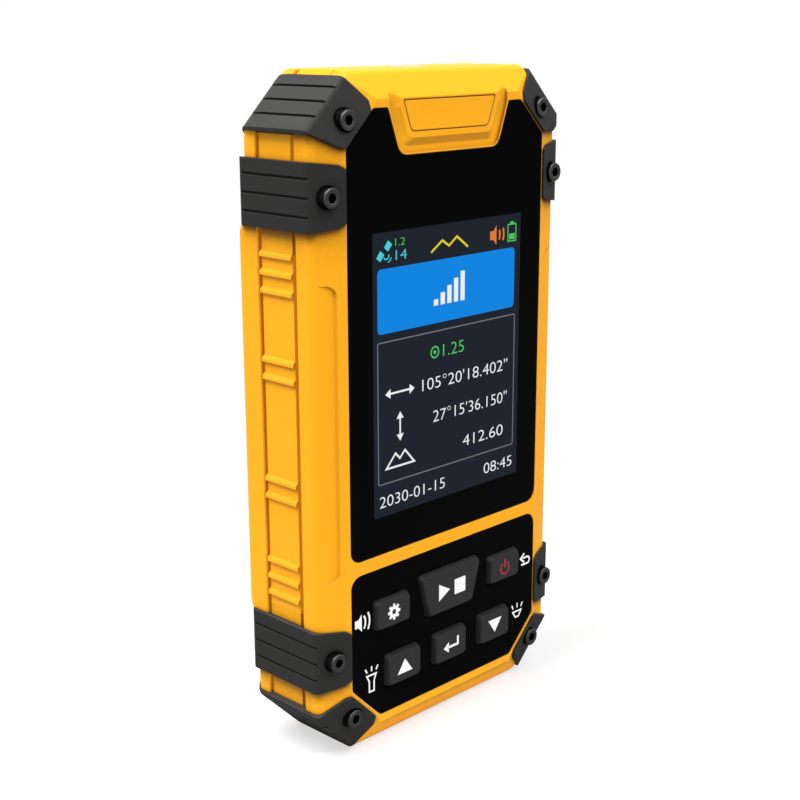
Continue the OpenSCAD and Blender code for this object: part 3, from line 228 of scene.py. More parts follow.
class Finish:
    """Nodes of a new material, or of the world, under construction."""

    def __init__(self, name, kind="materials"):
        self.owner = getattr(bpy.data, kind).new(name)
        self.owner.use_nodes = True
        self.tree = self.owner.node_tree
        self.tree.nodes.clear()

    def add(self, kind, settings=None, sockets=None, output=0):
        """Adds a node: its settings first, then the values or links of its sockets; returns one of
        its outputs."""
        node = self.tree.nodes.new(kind)
        for key, value in (settings or {}).items():
            setattr(node, key, value)
        for key, value in (sockets or {}).items():
            if isinstance(value, Wire):
                self.tree.links.new(value.socket, node.inputs[key])
            else:
                node.inputs[key].default_value = value
        return Wire(self, node.outputs[output]) if node.outputs else None

    def vector(self, operation, *vectors, output=0):
        """Vector Math on one or two vectors."""
        return self.add("ShaderNodeVectorMath", {"operation": operation},
                        dict(enumerate(vectors)), output)

    def along(self, axis, vector):
        """One coordinate of a vector."""
        return self.add("ShaderNodeSeparateXYZ", {}, {0: vector}, output=axis)

    def place(self):
        """Place on the object, in metres."""
        return self.add("ShaderNodeTexCoord", output="Object")

    def facing(self):
        """Direction in which the face looks."""
        return self.add("ShaderNodeNewGeometry", output="Normal")

    def noise(self, size, detail=3.0, stretch=None):
        """Cloudy value from 0 to 1 whose blotches are about size metres."""
        place = self.place()
        if stretch:
            place = self.vector("MULTIPLY", place, stretch)
        return self.add("ShaderNodeTexNoise", {"noise_dimensions": "3D"}, {
            "Vector": place, "Scale": 1.0 / size, "Detail": detail, "Roughness": 0.55})

    def blend(self, factor, first, second):
        """Colour between two colours."""
        return self.add("ShaderNodeMix", {"data_type": "RGBA", "clamp_factor": True},
                        {0: factor, 6: opaque(first), 7: opaque(second)}, output=2)

    def bump(self, height, depth, strength, normal=None):
        """Normal of a surface whose relief is depth metres."""
        sockets = {"Height": height, "Distance": depth, "Strength": strength}
        if normal:
            sockets["Normal"] = normal
        return self.add("ShaderNodeBump", {}, sockets)

    def rounded(self, radius):
        """Normal that turns smoothly over the edges."""
        return self.add("ShaderNodeBevel", {"samples": 6}, {"Radius": radius})

    def rim(self, rounded):
        """1 on the edges over which a rounded normal turns, and 0 away from them."""
        cosine = self.vector("DOT_PRODUCT", rounded, self.facing(), output="Value")
        return ((1.0 - cosine) * 9.0).clamped()

    def nearness(self, reach):
        """1 on open faces, and less where other faces stand within reach metres."""
        return self.add("ShaderNodeAmbientOcclusion", {"samples": 8}, {"Distance": reach},
                        output="AO")

    def inside(self, low, high):
        """1 inside the box between two corners, in metres."""
        place = self.place()
        kept = 1.0
        for axis, start, end in zip("XYZ", low, high):
            here = self.along(axis, place)
            kept = here.math("GREATER_THAN", start) * here.math("LESS_THAN", end) * kept
        return kept

    def leaning(self, normal):
        """0 on faces that look straight out or up, 1 on those that lean down by the full lean."""
        full_lean = math.radians(20.0)
        return (self.along("Z", normal) / -math.sin(full_lean)).clamped()

    def shelter(self, reach):
        """Mask for the painted shade from above: 1 on faces that are open from above or stand near
        the floor, less on those that lean down, and less just below anything that stands out within
        reach metres. A face that looks to the front or the back darkens faster than one that looks
        to a side."""
        lift, floor_reach, side_fall = 3.0, 8 * MM, 1.7
        normal = self.facing()
        skyward = self.vector("NORMALIZE", self.vector("ADD", normal, (0.0, 0.0, lift)))
        clear = self.add("ShaderNodeAmbientOcclusion", {"samples": 16},
                         {"Distance": reach, "Normal": skyward}, output="AO")
        open_wall = 0.5 + 0.5 / math.hypot(1.0, lift)
        near_floor = (1.0 - self.along("Z", self.place()) / floor_reach).clamped()
        front = self.along("Y", normal)
        fall = side_fall + front * front
        return ((clear / open_wall).clamped() ** fall + near_floor).clamped()

    def seen(self, *kinds):
        """1 for rays of these kinds, and 0 for the other rays."""
        return sum(self.add("ShaderNodeLightPath", output=f"Is {kind} Ray")
                   for kind in kinds).clamped()

    def done(self, **sockets):
        """Closes the material with its surface shader, whose sockets are given by their names."""
        named = {}
        for key, value in sockets.items():
            name = key.replace("_", " ").title().replace("Ior", "IOR")
            named[name] = opaque(value) if name.endswith("Color") else value
        return self.closed(self.add("ShaderNodeBsdfPrincipled", {}, named))

    def closed(self, surface, output="ShaderNodeOutputMaterial"):
        """Joins the last shader to the output."""
        self.add(output, {}, {"Surface": surface})
        return self.owner


def moulded(name, colour, rough, grain, relief, edge_highlight_colour=None, crease_shade_colour=None, gloss=0.3, edge=0.2 * MM,
            edge_highlight_strength=1.0, crease_shade=0.45, shade=0.0, spared=(), dim_box=None, dust_and_top_light=0.0):
    """Moulded plastic or rubber: fine grain, a faint drift of colour, a painted highlight on the
    edges and painted shade in the recesses. Painted shade also falls within shade metres below
    anything that stands out, less so in the spared boxes, and on the faces that lean down inside
    dim_box; the faces that look up are paler with a painted top light."""
    f = Finish(name)
    rounded = f.rounded(edge)
    drift = f.noise(20 * MM, 2.0)
    fine = f.noise(grain, 2.0)
    body = f.blend(drift, scaled(colour, 0.96), scaled(colour, 1.04))
    speckled = f.blend(fine * 0.3, body, scaled(colour, 0.9))
    # mask of the recesses and creases, used for the painted shade and a rougher surface
    recess = ((1.0 - f.nearness(1.6 * MM)) * 3.0 - 0.15).clamped()
    # painted highlight: the convex edges are paler, as if they caught the light
    edge_highlight = f.rim(rounded) * (0.4 + drift * 0.6) * (1.0 - recess) * edge_highlight_strength
    skin = f.blend(edge_highlight, speckled, edge_highlight_colour or scaled(colour, 1.5))
    shadow = scaled(colour, 0.1)
    # painted shade below anything that stands out, weaker in the spared boxes
    if shade:
        dim = 1.0 - f.shelter(shade)
        for low, high in spared:
            dim = dim * (1.0 - f.inside(low, high) * SPARED)
        skin = f.blend(dim * SHELTER_DIM, skin, shadow)
    # painted shade on the faces that lean down inside dim_box
    if dim_box:
        skin = f.blend(f.leaning(rounded) * f.inside(*dim_box) * LEAN_DIM, skin, shadow)
    # painted top light: the faces that look up are paler
    if dust_and_top_light:
        upward = f.along("Z", rounded).clamped()
        top_light = upward * upward * (0.7 + drift * 0.6) * dust_and_top_light
        skin = f.blend(top_light, skin, scaled(colour, 2.5))
    # painted shade: the recesses and creases are darker
    return f.done(base_color=f.blend(recess * crease_shade, skin, crease_shade_colour or scaled(colour, 0.35)),
                  roughness=rough + (fine - 0.5) * 0.12 + recess * 0.15,
                  normal=f.bump(fine, relief, 0.6, rounded),
                  specular_ior_level=gloss)


def gloss_black(name, colour, rough):
    """Polished black panel with faint wipe marks in its gloss and a few specks of dust."""
    f = Finish(name)
    wipe = f.noise(6 * MM, 4.0, stretch=(1.0, 1.0, 0.25))
    dust_and_top_light = ((f.noise(0.4 * MM, 1.0) - 0.72) * 8.0).clamped()
    return f.done(base_color=f.blend(dust_and_top_light * 0.25, colour, (0.01, 0.01, 0.01)),
                  roughness=rough + wipe * 0.06,
                  normal=f.rounded(0.12 * MM),
                  specular_ior_level=0.014)


def steel(name, colour, rough):
    """Bare metal with fine streaks and a painted highlight along the edges."""
    f = Finish(name)
    rounded = f.rounded(0.12 * MM)
    streaks = f.noise(0.6 * MM, 4.0, stretch=(1.0, 1.0, 12.0))
    blots = f.noise(4 * MM)
    body = f.blend(streaks, scaled(colour, 0.8), scaled(colour, 1.15))
    # painted highlight: the edges are paler
    return f.done(base_color=f.blend(f.rim(rounded) * 0.6, body, scaled(colour, 1.9)),
                  metallic=1.0,
                  roughness=rough + (blots - 0.5) * 0.2,
                  normal=f.bump(streaks, 0.004 * MM, 0.4, rounded))


def ink(name, colour):
    """Screen-printed ink, a little thinner in places."""
    f = Finish(name)
    thin = f.noise(0.3 * MM)
    return f.done(base_color=f.blend(thin * 0.3, colour, scaled(colour, 0.85)),
                  roughness=0.4 + thin * 0.15)


def lit(name, colour):
    """A lit area of the display, with its fine grid of picture dots."""
    f = Finish(name)
    dot = 0.2 * MM
    dots = f.add("ShaderNodeTexChecker", {}, {"Vector": f.place(), "Scale": 1.0 / dot},
                 output="Fac")
    return f.done(base_color=(0.001, 0.001, 0.001),
                  roughness=0.12,
                  specular_ior_level=0.02,
                  emission_color=f.blend(dots * 0.12, colour, scaled(colour, 0.8)),
                  emission_strength=1.0)


def circuit_board(name):
    """Green solder mask over copper tracks."""
    f = Finish(name)
    tracks = f.add("ShaderNodeTexBrick", {"offset": 0.37}, {
        "Vector": f.place(), "Scale": 260.0, "Mortar Size": 0.06, "Mortar Smooth": 0.1},
        output="Fac")
    drift = f.noise(10 * MM)
    mask = f.blend(drift, (0.004, 0.06, 0.02), (0.008, 0.1, 0.035))
    return f.done(base_color=f.blend(tracks * 0.6, mask, (0.03, 0.22, 0.06)),
                  roughness=0.3 + drift * 0.1,
                  normal=f.bump(tracks, 0.02 * MM, 0.5))


def clear_window(name):
    """Clear moulded window with a faint haze."""
    f = Finish(name)
    haze = f.noise(2 * MM)
    return f.done(base_color=(0.95, 0.97, 0.98),
                  roughness=0.03 + haze * 0.05,
                  transmission_weight=0.9,
                  ior=1.49)


def sleeved(name, colour, rough):
    """Film or shrink sleeve with soft ripples."""
    f = Finish(name)
    ripples = f.noise(3 * MM, stretch=(1.0, 1.0, 3.0))
    return f.done(base_color=f.blend(ripples, scaled(colour, 0.85), scaled(colour, 1.1)),
                  roughness=rough + ripples * 0.1,
                  normal=f.bump(ripples, 0.05 * MM, 0.5))


def ceramic(name):
    """Fired ceramic with faint speckles."""
    f = Finish(name)
    specks = f.noise(0.5 * MM)
    return f.done(base_color=f.blend(specks, (0.62, 0.55, 0.4), (0.74, 0.67, 0.5)),
                  roughness=0.5 + specks * 0.2)


def give(material, *nodes):
    """Gives carried-over solids their finish."""
    for node in nodes:
        slots = NODES[node].data.materials
        slots.clear()
        slots.append(material)


def link(name, data):
    """New object in the scene."""
    piece = bpy.data.objects.new(name, data)
    bpy.context.scene.collection.objects.link(piece)
    return piece


def mesh_from(name, bm):
    """New mesh from mesh code, which it uses up."""
    mesh = bpy.data.meshes.new(name)
    bm.to_mesh(mesh)
    bm.free()
    return mesh


def welded(node):
    """A solid's mesh as mesh code, with its corners joined."""
    bm = bmesh.new()
    bm.from_mesh(NODES[node].data)
    bmesh.ops.remove_doubles(bm, verts=bm.verts, dist=WELD)
    return bm


def shaded_smooth(bm):
    """Shades every face smoothly."""
    for face in bm.faces:
        face.smooth = True


def softened(node, width, segments, material, body=ROOT, crease=32.0, shape=None):
    """A copy of a solid with its edges rounded, which stands for it in the picture. Edges that
    turn by less than the crease, in degrees, are shaded smoothly."""
    flat, hard_edge, room_needed = math.radians(0.4), math.radians(28.0), 2.2 * width
    bm = welded(node)
    bmesh.ops.dissolve_limit(bm, angle_limit=flat, verts=bm.verts, edges=bm.edges)
    if shape:
        shape(bm)
    hard = [e for e in bm.edges if e.is_manifold and e.calc_face_angle(0.0) > hard_edge]
    room = {v: min(e.calc_length() for e in v.link_edges) for v in bm.verts}
    chosen = [e for e in hard if min(room[v] for v in e.verts) > room_needed]
    bmesh.ops.bevel(bm, geom=chosen, offset=width, offset_type="OFFSET", segments=segments,
                    profile=0.5, affect="EDGES", clamp_overlap=True)
    shaded_smooth(bm)
    name = node + "_soft"
    piece = link(name, mesh_from(name, bm))
    piece.data.set_sharp_from_angle(angle=math.radians(crease))
    piece.data.materials.append(material)
    weighted = piece.modifiers.new("Even shading", "WEIGHTED_NORMAL")
    weighted.keep_sharp = True
    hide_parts(node)
    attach(piece, body)


def islands(node):
    """The separate solids of a group, each as its corner points."""
    bm = welded(node)
    left, found = set(bm.verts), []
    while left:
        reached, ahead = set(), [left.pop()]
        while ahead:
            v = ahead.pop()
            reached.add(v)
            near = {e.other_vert(v) for e in v.link_edges} & left
            left -= near
            ahead.extend(near)
        found.append(sorted(tuple(v.co) for v in reached))
    bm.free()
    return sorted(found)


def turned(bm, x, z, rings):
    """Adds a turned piece from rings of a depth, a radius, which may change with the step and its
    angle, and the finish of the band that ends there."""
    steps = 72
    angles = [(i, 2 * math.pi * i / steps) for i in range(steps)]
    loops = []
    for depth, radius, _ in rings:
        radii = [radius(i, a) if callable(radius) else radius for i, a in angles]
        loops.append([bm.verts.new((x + r * math.cos(a), depth, z + r * math.sin(a)))
                      for (_, a), r in zip(angles, radii)])
    for low, high, (_, _, finish) in zip(loops, loops[1:], rings[1:]):
        for i in range(steps):
            j = (i + 1) % steps
            bm.faces.new((low[i], low[j], high[j], high[i])).material_index = finish
    bm.faces.new(loops[0])
    bm.faces.new(loops[-1]).material_index = rings[-1][2]


def socket_screw(bm, points):
    """Adds one guard screw in the place of its solid: with a tall knurled head where it is driven
    from the front, and with a low domed head where it is driven from behind."""
    xs, ys, zs = zip(*points)
    x, z = (min(xs) + max(xs)) / 2, (min(zs) + max(zs)) / 2
    wide = max(xs) - x
    head = [p[1] for p in points if math.hypot(p[0] - x, p[2] - z) > 0.9 * wide]
    cap = min(ys) < FRONT
    if cap:
        way, top, tip, seat = 1.0, min(ys), max(ys), max(head)
    else:
        way, top, tip, seat = -1.0, max(ys), min(ys), min(head)
    shank, point, lead = 1.25 * MM, 0.8 * MM, 0.4 * MM
    notch, socket, mouth, mouth_deep = 0.11 * MM, 1.0 * MM, 1.3 * MM, 0.1 * MM
    drill, drill_deep = 0.3 * MM, 0.05 * MM
    bright, dark = 0, 1

    def knurl(i, a):
        return wide - notch * (i % 2)

    def hexagon(i, a):
        return socket / math.cos(a % (math.pi / 3) - math.pi / 6)

    # the dark bands are partly a black oxide finish and partly painted shade on the knurled sides
    # and in the socket
    rings = [(tip, point, dark), (tip - way * lead, shank, dark), (seat, shank, dark)]
    if cap:
        socket_deep = 1.25 * MM
        rings += [(seat, wide - 0.25 * MM, dark),
                  (seat - 0.2 * MM, knurl, dark),
                  (top + 0.42 * MM, knurl, dark),
                  (top + 0.34 * MM, wide - 0.06 * MM, dark),
                  (top + 0.16 * MM, wide - 0.1 * MM, bright),
                  (top, wide - 0.32 * MM, bright)]
    else:
        socket_deep = 0.65 * MM
        dome = ((0.0, 0.1), (0.08, 0.0), (0.35, 0.12), (0.62, 0.3), (0.84, 0.52), (1.0, 0.8))
        rings += [(seat + share * (top - seat), wide - inward * MM, bright)
                  for share, inward in dome]
    rings += [(top, mouth, bright),
              (top + way * mouth_deep, hexagon, bright),
              (top + way * socket_deep, hexagon, dark),
              (top + way * (socket_deep + drill_deep), drill, dark)]
    turned(bm, x, z, rings)


def on_circle(x, z, radius, angle):
    """Point of a circle at an angle in degrees."""
    turn = math.radians(angle)
    return x + radius * math.cos(turn), z + radius * math.sin(turn)


def disc(x, z, radius):
    """Filled circle."""
    steps = 40
    return [[on_circle(x, z, radius, 360 * i / steps) for i in range(steps)]]


def arc(x, z, radius, width, start, end):
    """Strip of a ring, from one angle to another, in degrees."""
    steps = 28
    inner, outer = radius - width / 2, radius + width / 2
    angles = [start + (end - start) * i / steps for i in range(steps + 1)]
    return [[on_circle(x, z, inner, a), on_circle(x, z, outer, a),
             on_circle(x, z, outer, b), on_circle(x, z, inner, b)]
            for a, b in zip(angles, angles[1:])]


def stroke(points, width, closed=False):
    """Line of even width with mitred corners."""
    points = [Vector(p) for p in points]
    count = len(points)
    left, right = [], []
    for i, p in enumerate(points):
        before = points[i - 1] if i or closed else None
        after = points[(i + 1) % count] if i + 1 < count or closed else None
        along = [(b - a).normalized() for a, b in ((before, p), (p, after))
                 if a is not None and b is not None]
        sides = [Vector((-d.y, d.x)) for d in along]
        side = sum(sides, Vector((0, 0))).normalized()
        side *= width / 2 / side.dot(sides[0])
        left.append(tuple(p + side))
        right.append(tuple(p - side))
    spans = [(i, (i + 1) % count) for i in range(count if closed else count - 1)]
    return [[left[i], right[i], right[j], left[j]] for i, j in spans]


def panel(x0, z0, x1, z1, radius, steps=6):
    """Rounded rectangle."""
    corners = ((x1 - radius, z1 - radius, 0), (x0 + radius, z1 - radius, 90),
               (x0 + radius, z0 + radius, 180), (x1 - radius, z0 + radius, 270))
    return [[on_circle(x, z, radius, start + 90 * i / steps)
             for x, z, start in corners for i in range(steps + 1)]]


def bar(x0, z0, x1, z1):
    """Rectangle with square corners."""
    return [[(x0, z0), (x1, z0), (x1, z1), (x0, z1)]]


def moved(shape, x, z):
    """The same faces in another place."""
    return [[(px + x, pz + z) for px, pz in face] for face in shape]


def cone_marks(x, z, size, spread=1.0):
    """Loudspeaker with two sound waves, size tall."""
    u = size / 4.2
    back, neck, mouth, centre = x - 2.55 * u, x - 1.5 * u, x - 0.45 * u, x - 2.2 * u
    box = bar(back, z - 0.95 * u, neck, z + 0.95 * u)
    cone = [[(neck, z - 0.95 * u), (mouth, z - 2.1 * u), (mouth, z + 2.1 * u),
             (neck, z + 0.95 * u)]]
    waves = [arc(centre, z, radius * u, 0.5 * u, -angle * spread, angle * spread)
             for radius, angle in ((2.9, 33), (4.2, 29))]
    return [box + cone, *waves]


def thickened(bm, part, colour):
    """Adds flat faces to a mesh as a thin closed mark that stands out to the front."""
    bmesh.ops.remove_doubles(part, verts=part.verts, dist=MARK_WELD)
    grown = bmesh.ops.extrude_face_region(part, geom=part.faces[:])["geom"]
    corners = [g for g in grown if isinstance(g, bmesh.types.BMVert)]
    bmesh.ops.translate(part, verts=corners, vec=(0, -INK, 0))
    bmesh.ops.recalc_face_normals(part, faces=part.faces)
    for face in part.faces:
        face.material_index = colour
    spare = mesh_from("mark", part)
    bm.from_mesh(spare)
    bpy.data.meshes.remove(spare)


def raised(bm, shape, back, colour=0):
    """Adds one mark, given as faces in x and z millimetres."""
    part = bmesh.new()
    for face in shape:
        part.faces.new([part.verts.new((x * MM, back, z * MM)) for x, z in face])
    thickened(bm, part, colour)


def figures(bm, words, x0, x1, z, height, back, colour):
    """Adds plain figures between x0 and x1, with their foot at z and the height of a digit, all in
    millimetres."""
    thinning, digit = -0.011, 0.7
    curve = bpy.data.curves.new("figures", "FONT")
    curve.body = words
    curve.offset = thinning
    spare = link("figures", curve)
    depsgraph = bpy.context.evaluated_depsgraph_get()
    mesh = bpy.data.meshes.new_from_object(spare.evaluated_get(depsgraph))
    bpy.data.objects.remove(spare)
    bpy.data.curves.remove(curve)
    part = bmesh.new()
    part.from_mesh(mesh)
    bpy.data.meshes.remove(mesh)
    xs = [v.co.x for v in part.verts]
    start, end = min(xs), max(xs)
    wide = (x1 - x0) * MM / (end - start)
    tall = height * MM / digit
    for v in part.verts:
        v.co = Vector((x0 * MM + (v.co.x - start) * wide, back, z * MM + v.co.y * tall))
    thickened(bm, part, colour)


def printed(name, bm, materials, body):
    """Closes a piece of thin marks."""
    piece = link(name, mesh_from(name, bm))
    for material in materials:
        piece.data.materials.append(material)
    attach(piece, body)


class METER_OT_casing(bpy.types.Operator):
    """Dress the three layers of the casing and the seals between them"""

    bl_idname = "meter.casing"
    bl_label = "Casing"

    def execute(self, context):
        look, edges = context.scene.meter_finish, context.scene.meter_edges
        # the tab's box, in which the faces that lean down get painted shade
        tab = (-20 * MM, FRONT - MM, 134 * MM), (20 * MM, FRONT + MM, 147 * MM)
        front_seam, rear_seam = (corner.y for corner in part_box("mid_frame"))
        lip = front_seam - 0.45 * MM
        ribs_front, ribs_back = front_seam + 0.85 * MM, rear_seam - 0.35 * MM
        # boxes in which the painted shade from above is weaker
        spared = {
            "front seam": ((-FAR, lip, -FAR), (FAR, ribs_front, FAR)),
            "rear seam": ((-FAR, ribs_back, -FAR), (FAR, rear_seam + 0.7 * MM, FAR)),
            "ribs": ((-FAR, ribs_front, 35 * MM), (FAR, ribs_back, 115.5 * MM)),
            "front slopes": ((-FAR, -FAR, 35 * MM), (FAR, lip, 110 * MM)),
            "gap between the upper guards": ((-FAR, lip, 134.5 * MM), (FAR, FAR, 143 * MM)),
        }
        # amber casing with a painted highlight on its edges and painted shade in its creases, below
        # raised parts and on the tab's down-leaning faces
        amber = moulded("amber_plastic", tuple(look.casing), rough=0.42, grain=0.28 * MM,
                        relief=0.012 * MM, edge_highlight_colour=(1.0, 0.66, 0.16), crease_shade_colour=(0.4, 0.12, 0.002),
                        gloss=0.15, edge=0.35 * MM, edge_highlight_strength=0.45, crease_shade=0.24, shade=9 * MM,
                        spared=spared.values(), dim_box=tab)
        for node in ("front_casing", "mid_frame", "rear_casing"):
            softened(node, edges.casing, 2, amber, crease=16.5)
        give(moulded("seal_silicone", scaled(look.casing, 0.8), rough=0.6, grain=0.3 * MM,
                     relief=0.01 * MM),
             "front_seal", "rear_seal")
        give(moulded("mat_rubber", (0.012, 0.012, 0.012), rough=0.7, grain=0.3 * MM,
                     relief=0.01 * MM),
             "lens_tape", "display_foam", "key_mat")
        return {"FINISHED"}


class METER_OT_guards(bpy.types.Operator):
    """Dress the corner and side guards"""

    bl_idname = "meter.guards"
    bl_label = "Guards"

    def execute(self, context):
        look, edges = context.scene.meter_finish, context.scene.meter_edges
        # the guards get a painted top light on the faces that look up
        grey = moulded("guard_rubber", tuple(look.guard), rough=0.6, grain=0.35 * MM,
                       relief=0.03 * MM, gloss=0.13, dust_and_top_light=1.0)
        for node in sorted(NODES):
            if node.startswith("guard_") and node != "guard_screws":
                softened(node, edges.guard, 3, grey)
        return {"FINISHED"}


class METER_OT_screws(bpy.types.Operator):
    """Dress the cap screws, their inserts and the small screws"""

    bl_idname = "meter.screws"
    bl_label = "Screws"

    def execute(self, context):
        look = context.scene.meter_finish
        bm = bmesh.new()
        for points in islands("guard_screws"):
            socket_screw(bm, points)
        bmesh.ops.recalc_face_normals(bm, faces=bm.faces)
        shaded_smooth(bm)
        screws = link("guard_screws_turned", mesh_from("guard_screws_turned", bm))
        screws.data.set_sharp_from_angle(angle=math.radians(30.0))
        screws.data.materials.append(steel("blackened_steel", tuple(look.screw), rough=0.38))
        # darker copy of the screw steel: a black oxide finish together with painted shade
        screws.data.materials.append(steel("black_oxide_and_shade", scaled(look.screw, 0.12), rough=0.5))
        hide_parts("guard_screws")
        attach(screws, ROOT)
        give(steel("bright_steel", (0.55, 0.56, 0.58), rough=0.3),
             "key_board_screws", "board_screws", "strap_screws", "cover_pin")
        give(steel("insert_brass", (0.62, 0.42, 0.13), rough=0.3), "thread_inserts")
        return {"FINISHED"}


class METER_OT_panels(bpy.types.Operator):
    """Dress the display lens and the key panel, and print the marks beside the keys"""

    bl_idname = "meter.panels"
    bl_label = "Lens and key panel"

    def execute(self, context):
        look, edges = context.scene.meter_finish, context.scene.meter_edges
        black = gloss_black("panel_black", tuple(look.panel), rough=0.1)
        for node in ("screen_lens", "keypad_plate"):
            softened(node, edges.panel, 2, black)

        line, bold = 0.42, 0.5
        torch = ((-27.1, 18.6), (-24.15, 18.6), (-24.85, 17.1), (-24.85, 14.55), (-26.35, 14.55),
                 (-26.35, 17.1))
        torch_rays = (((-27.6, 20.5), (-27.05, 19.45)), ((-25.6, 20.7), (-25.6, 19.5)),
                      ((-23.6, 20.5), (-24.2, 19.45)))
        bend = [on_circle(29.4, 31.25, 0.85, 90 - 180 * i / 12) for i in range(1, 13)]
        back_arrow = [(27.6, 32.1), (29.4, 32.1), *bend, (27.1, 30.4)]
        arrow_head = ((28.2, 33.3), (26.75, 32.1), (28.2, 30.95))
        lamp = ((24.15, 18.45), (27.35, 18.45), (26.4, 16.95), (25.1, 16.95))
        lamp_rays = (((23.7, 20.4), (24.25, 19.3)), ((25.75, 20.65), (25.75, 19.4)),
                     ((27.8, 20.4), (27.25, 19.3)))
        marks = [*cone_marks(-28.1, 32.25, 4.2),
                 stroke(torch, line, closed=True), *(stroke(ray, line) for ray in torch_rays),
                 stroke(back_arrow, bold), stroke(arrow_head, bold),
                 stroke(lamp, line, closed=True), *(stroke(ray, line) for ray in lamp_rays)]
        bm = bmesh.new()
        for mark in marks:
            raised(bm, mark, FRONT)
        printed("panel_marks", bm, [ink("panel_ink", tuple(look.legend))], ROOT)
        return {"FINISHED"}


class METER_OT_screen(bpy.types.Operator):
    """Light the screen with plain figures and signs"""

    bl_idname = "meter.screen"
    bl_label = "Lit screen"

    def execute(self, context):
        shade = context.scene.meter_screen
        on_glow = FRONT - INK
        on_banner = on_glow - INK

        bm = bmesh.new()
        raised(bm, panel(-24.3, 55.65, 24.3, 119.25, 0.3), FRONT)
        printed("screen_glow", bm, [lit("screen_dark", tuple(shade.back))], ROOT)

        blue, grey = 0, 1
        bm = bmesh.new()
        raised(bm, panel(-22.95, 97.2, 22.3, 111.4, 1.1), on_glow, blue)
        outline = panel(-22.95, 63.2, 22.7, 95.35, 0.5, 4)[0]
        raised(bm, stroke(outline, 0.28, closed=True), on_glow, grey)
        fields = [lit("screen_blue", tuple(shade.banner)), lit("screen_grey", tuple(shade.line))]
        printed("screen_fields", bm, fields, ROOT)

        white, green, cyan, yellow, orange = range(5)
        colours = [lit("screen_white", (0.86, 0.87, 0.88)),
                   lit("screen_green", (0.08, 0.55, 0.12)),
                   lit("screen_cyan", (0.06, 0.62, 0.68)),
                   lit("screen_yellow", (0.75, 0.62, 0.02)),
                   lit("screen_orange", (0.75, 0.2, 0.04))]
        bm = bmesh.new()
        for words, start, end, foot, height, colour in (
                ("1.2", -17.45, -14.5, 116.0, 1.65, green),
                ("14", -17.3, -13.9, 112.9, 2.2, cyan),
                ("1.25", -2.2, 4.8, 89.2, 2.85, green),
                ("105°20'18.402\"", -9.0, 20.3, 82.2, 2.75, white),
                ("27°15'36.150\"", -5.4, 20.3, 74.3, 2.75, white),
                ("412.60", 4.7, 19.0, 66.35, 2.75, white),
                ("2030-01-15", -22.6, -1.4, 57.75, 2.65, white),
                ("08:45", 12.3, 22.5, 57.85, 2.65, white)):
            figures(bm, words, start, end, foot, height, on_glow, colour)
        printed("screen_figures", bm, colours, ROOT)

        thin, line, bold = 0.3, 0.45, 0.5
        wing = [[(-23.2, 113.9), (-22.0, 113.0), (-20.75, 114.4), (-21.95, 115.4)]]
        hills = ((-6.2, 113.3), (-2.6, 115.6), (-0.4, 114.2), (2.2, 116.0), (5.9, 113.3))
        cell = ((19.8, 112.95), (22.65, 112.95), (22.65, 116.85), (19.8, 116.85))
        ridge = ((-20.5, 66.5), (-17.6, 69.6), (-16.2, 68.2), (-14.6, 69.8), (-11.6, 66.5))
        signs = [
            *((moved(wing, 2.35 * i, 2.05 * i), cyan) for i in range(2)),
            (arc(-20.2, 114.2, 0.8, thin, 210, 375), cyan),
            (arc(-20.0, 114.0, 1.35, 0.25, 285, 345), cyan),
            (stroke(hills, bold), yellow),
            *((shape, orange) for shape in cone_marks(16.2, 114.85, 4.4, spread=0.65)),
            (stroke(cell, thin, closed=True), green),
            (bar(20.6, 117.0, 21.85, 117.5), green),
            (bar(20.25, 113.35, 22.2, 114.7), green),
        ]
        signal = [bar(-5.3 + 2.2 * i, 101.2, -3.9 + 2.2 * i, 102.6 + 1.35 * i) for i in range(5)]
        readings = [
            (arc(-4.9, 90.6, 1.25, 0.36, 0, 360), green),
            (disc(-4.9, 90.6, 0.45), green),
            (stroke(((-19.3, 83.55), (-12.9, 83.55)), line), white),
            ([[(-20.7, 83.55), (-19.1, 82.45), (-19.1, 84.65)]], white),
            ([[(-11.5, 83.55), (-13.1, 84.65), (-13.1, 82.45)]], white),
            (stroke(((-16.1, 73.6), (-16.1, 77.6)), line), white),
            ([[(-16.1, 79.0), (-17.2, 77.4), (-15.0, 77.4)]], white),
            ([[(-16.1, 72.2), (-15.0, 73.8), (-17.2, 73.8)]], white),
            (stroke(ridge, line, closed=True), white),
        ]
        bm = bmesh.new()
        for shape, colour in signs:
            raised(bm, shape, on_glow, colour)
        for shape in signal:
            raised(bm, shape, on_banner, white)
        for shape, colour in readings:
            raised(bm, shape, on_glow, colour)
        printed("screen_signs", bm, colours, ROOT)

        give(lit("display_edge", (0.004, 0.005, 0.007)), "display_panel")
        give(steel("tray_steel", (0.5, 0.51, 0.52), rough=0.35), "display_tray")
        give(sleeved("ribbon_film", (0.42, 0.12, 0.015), rough=0.3), "display_ribbon")
        return {"FINISHED"}


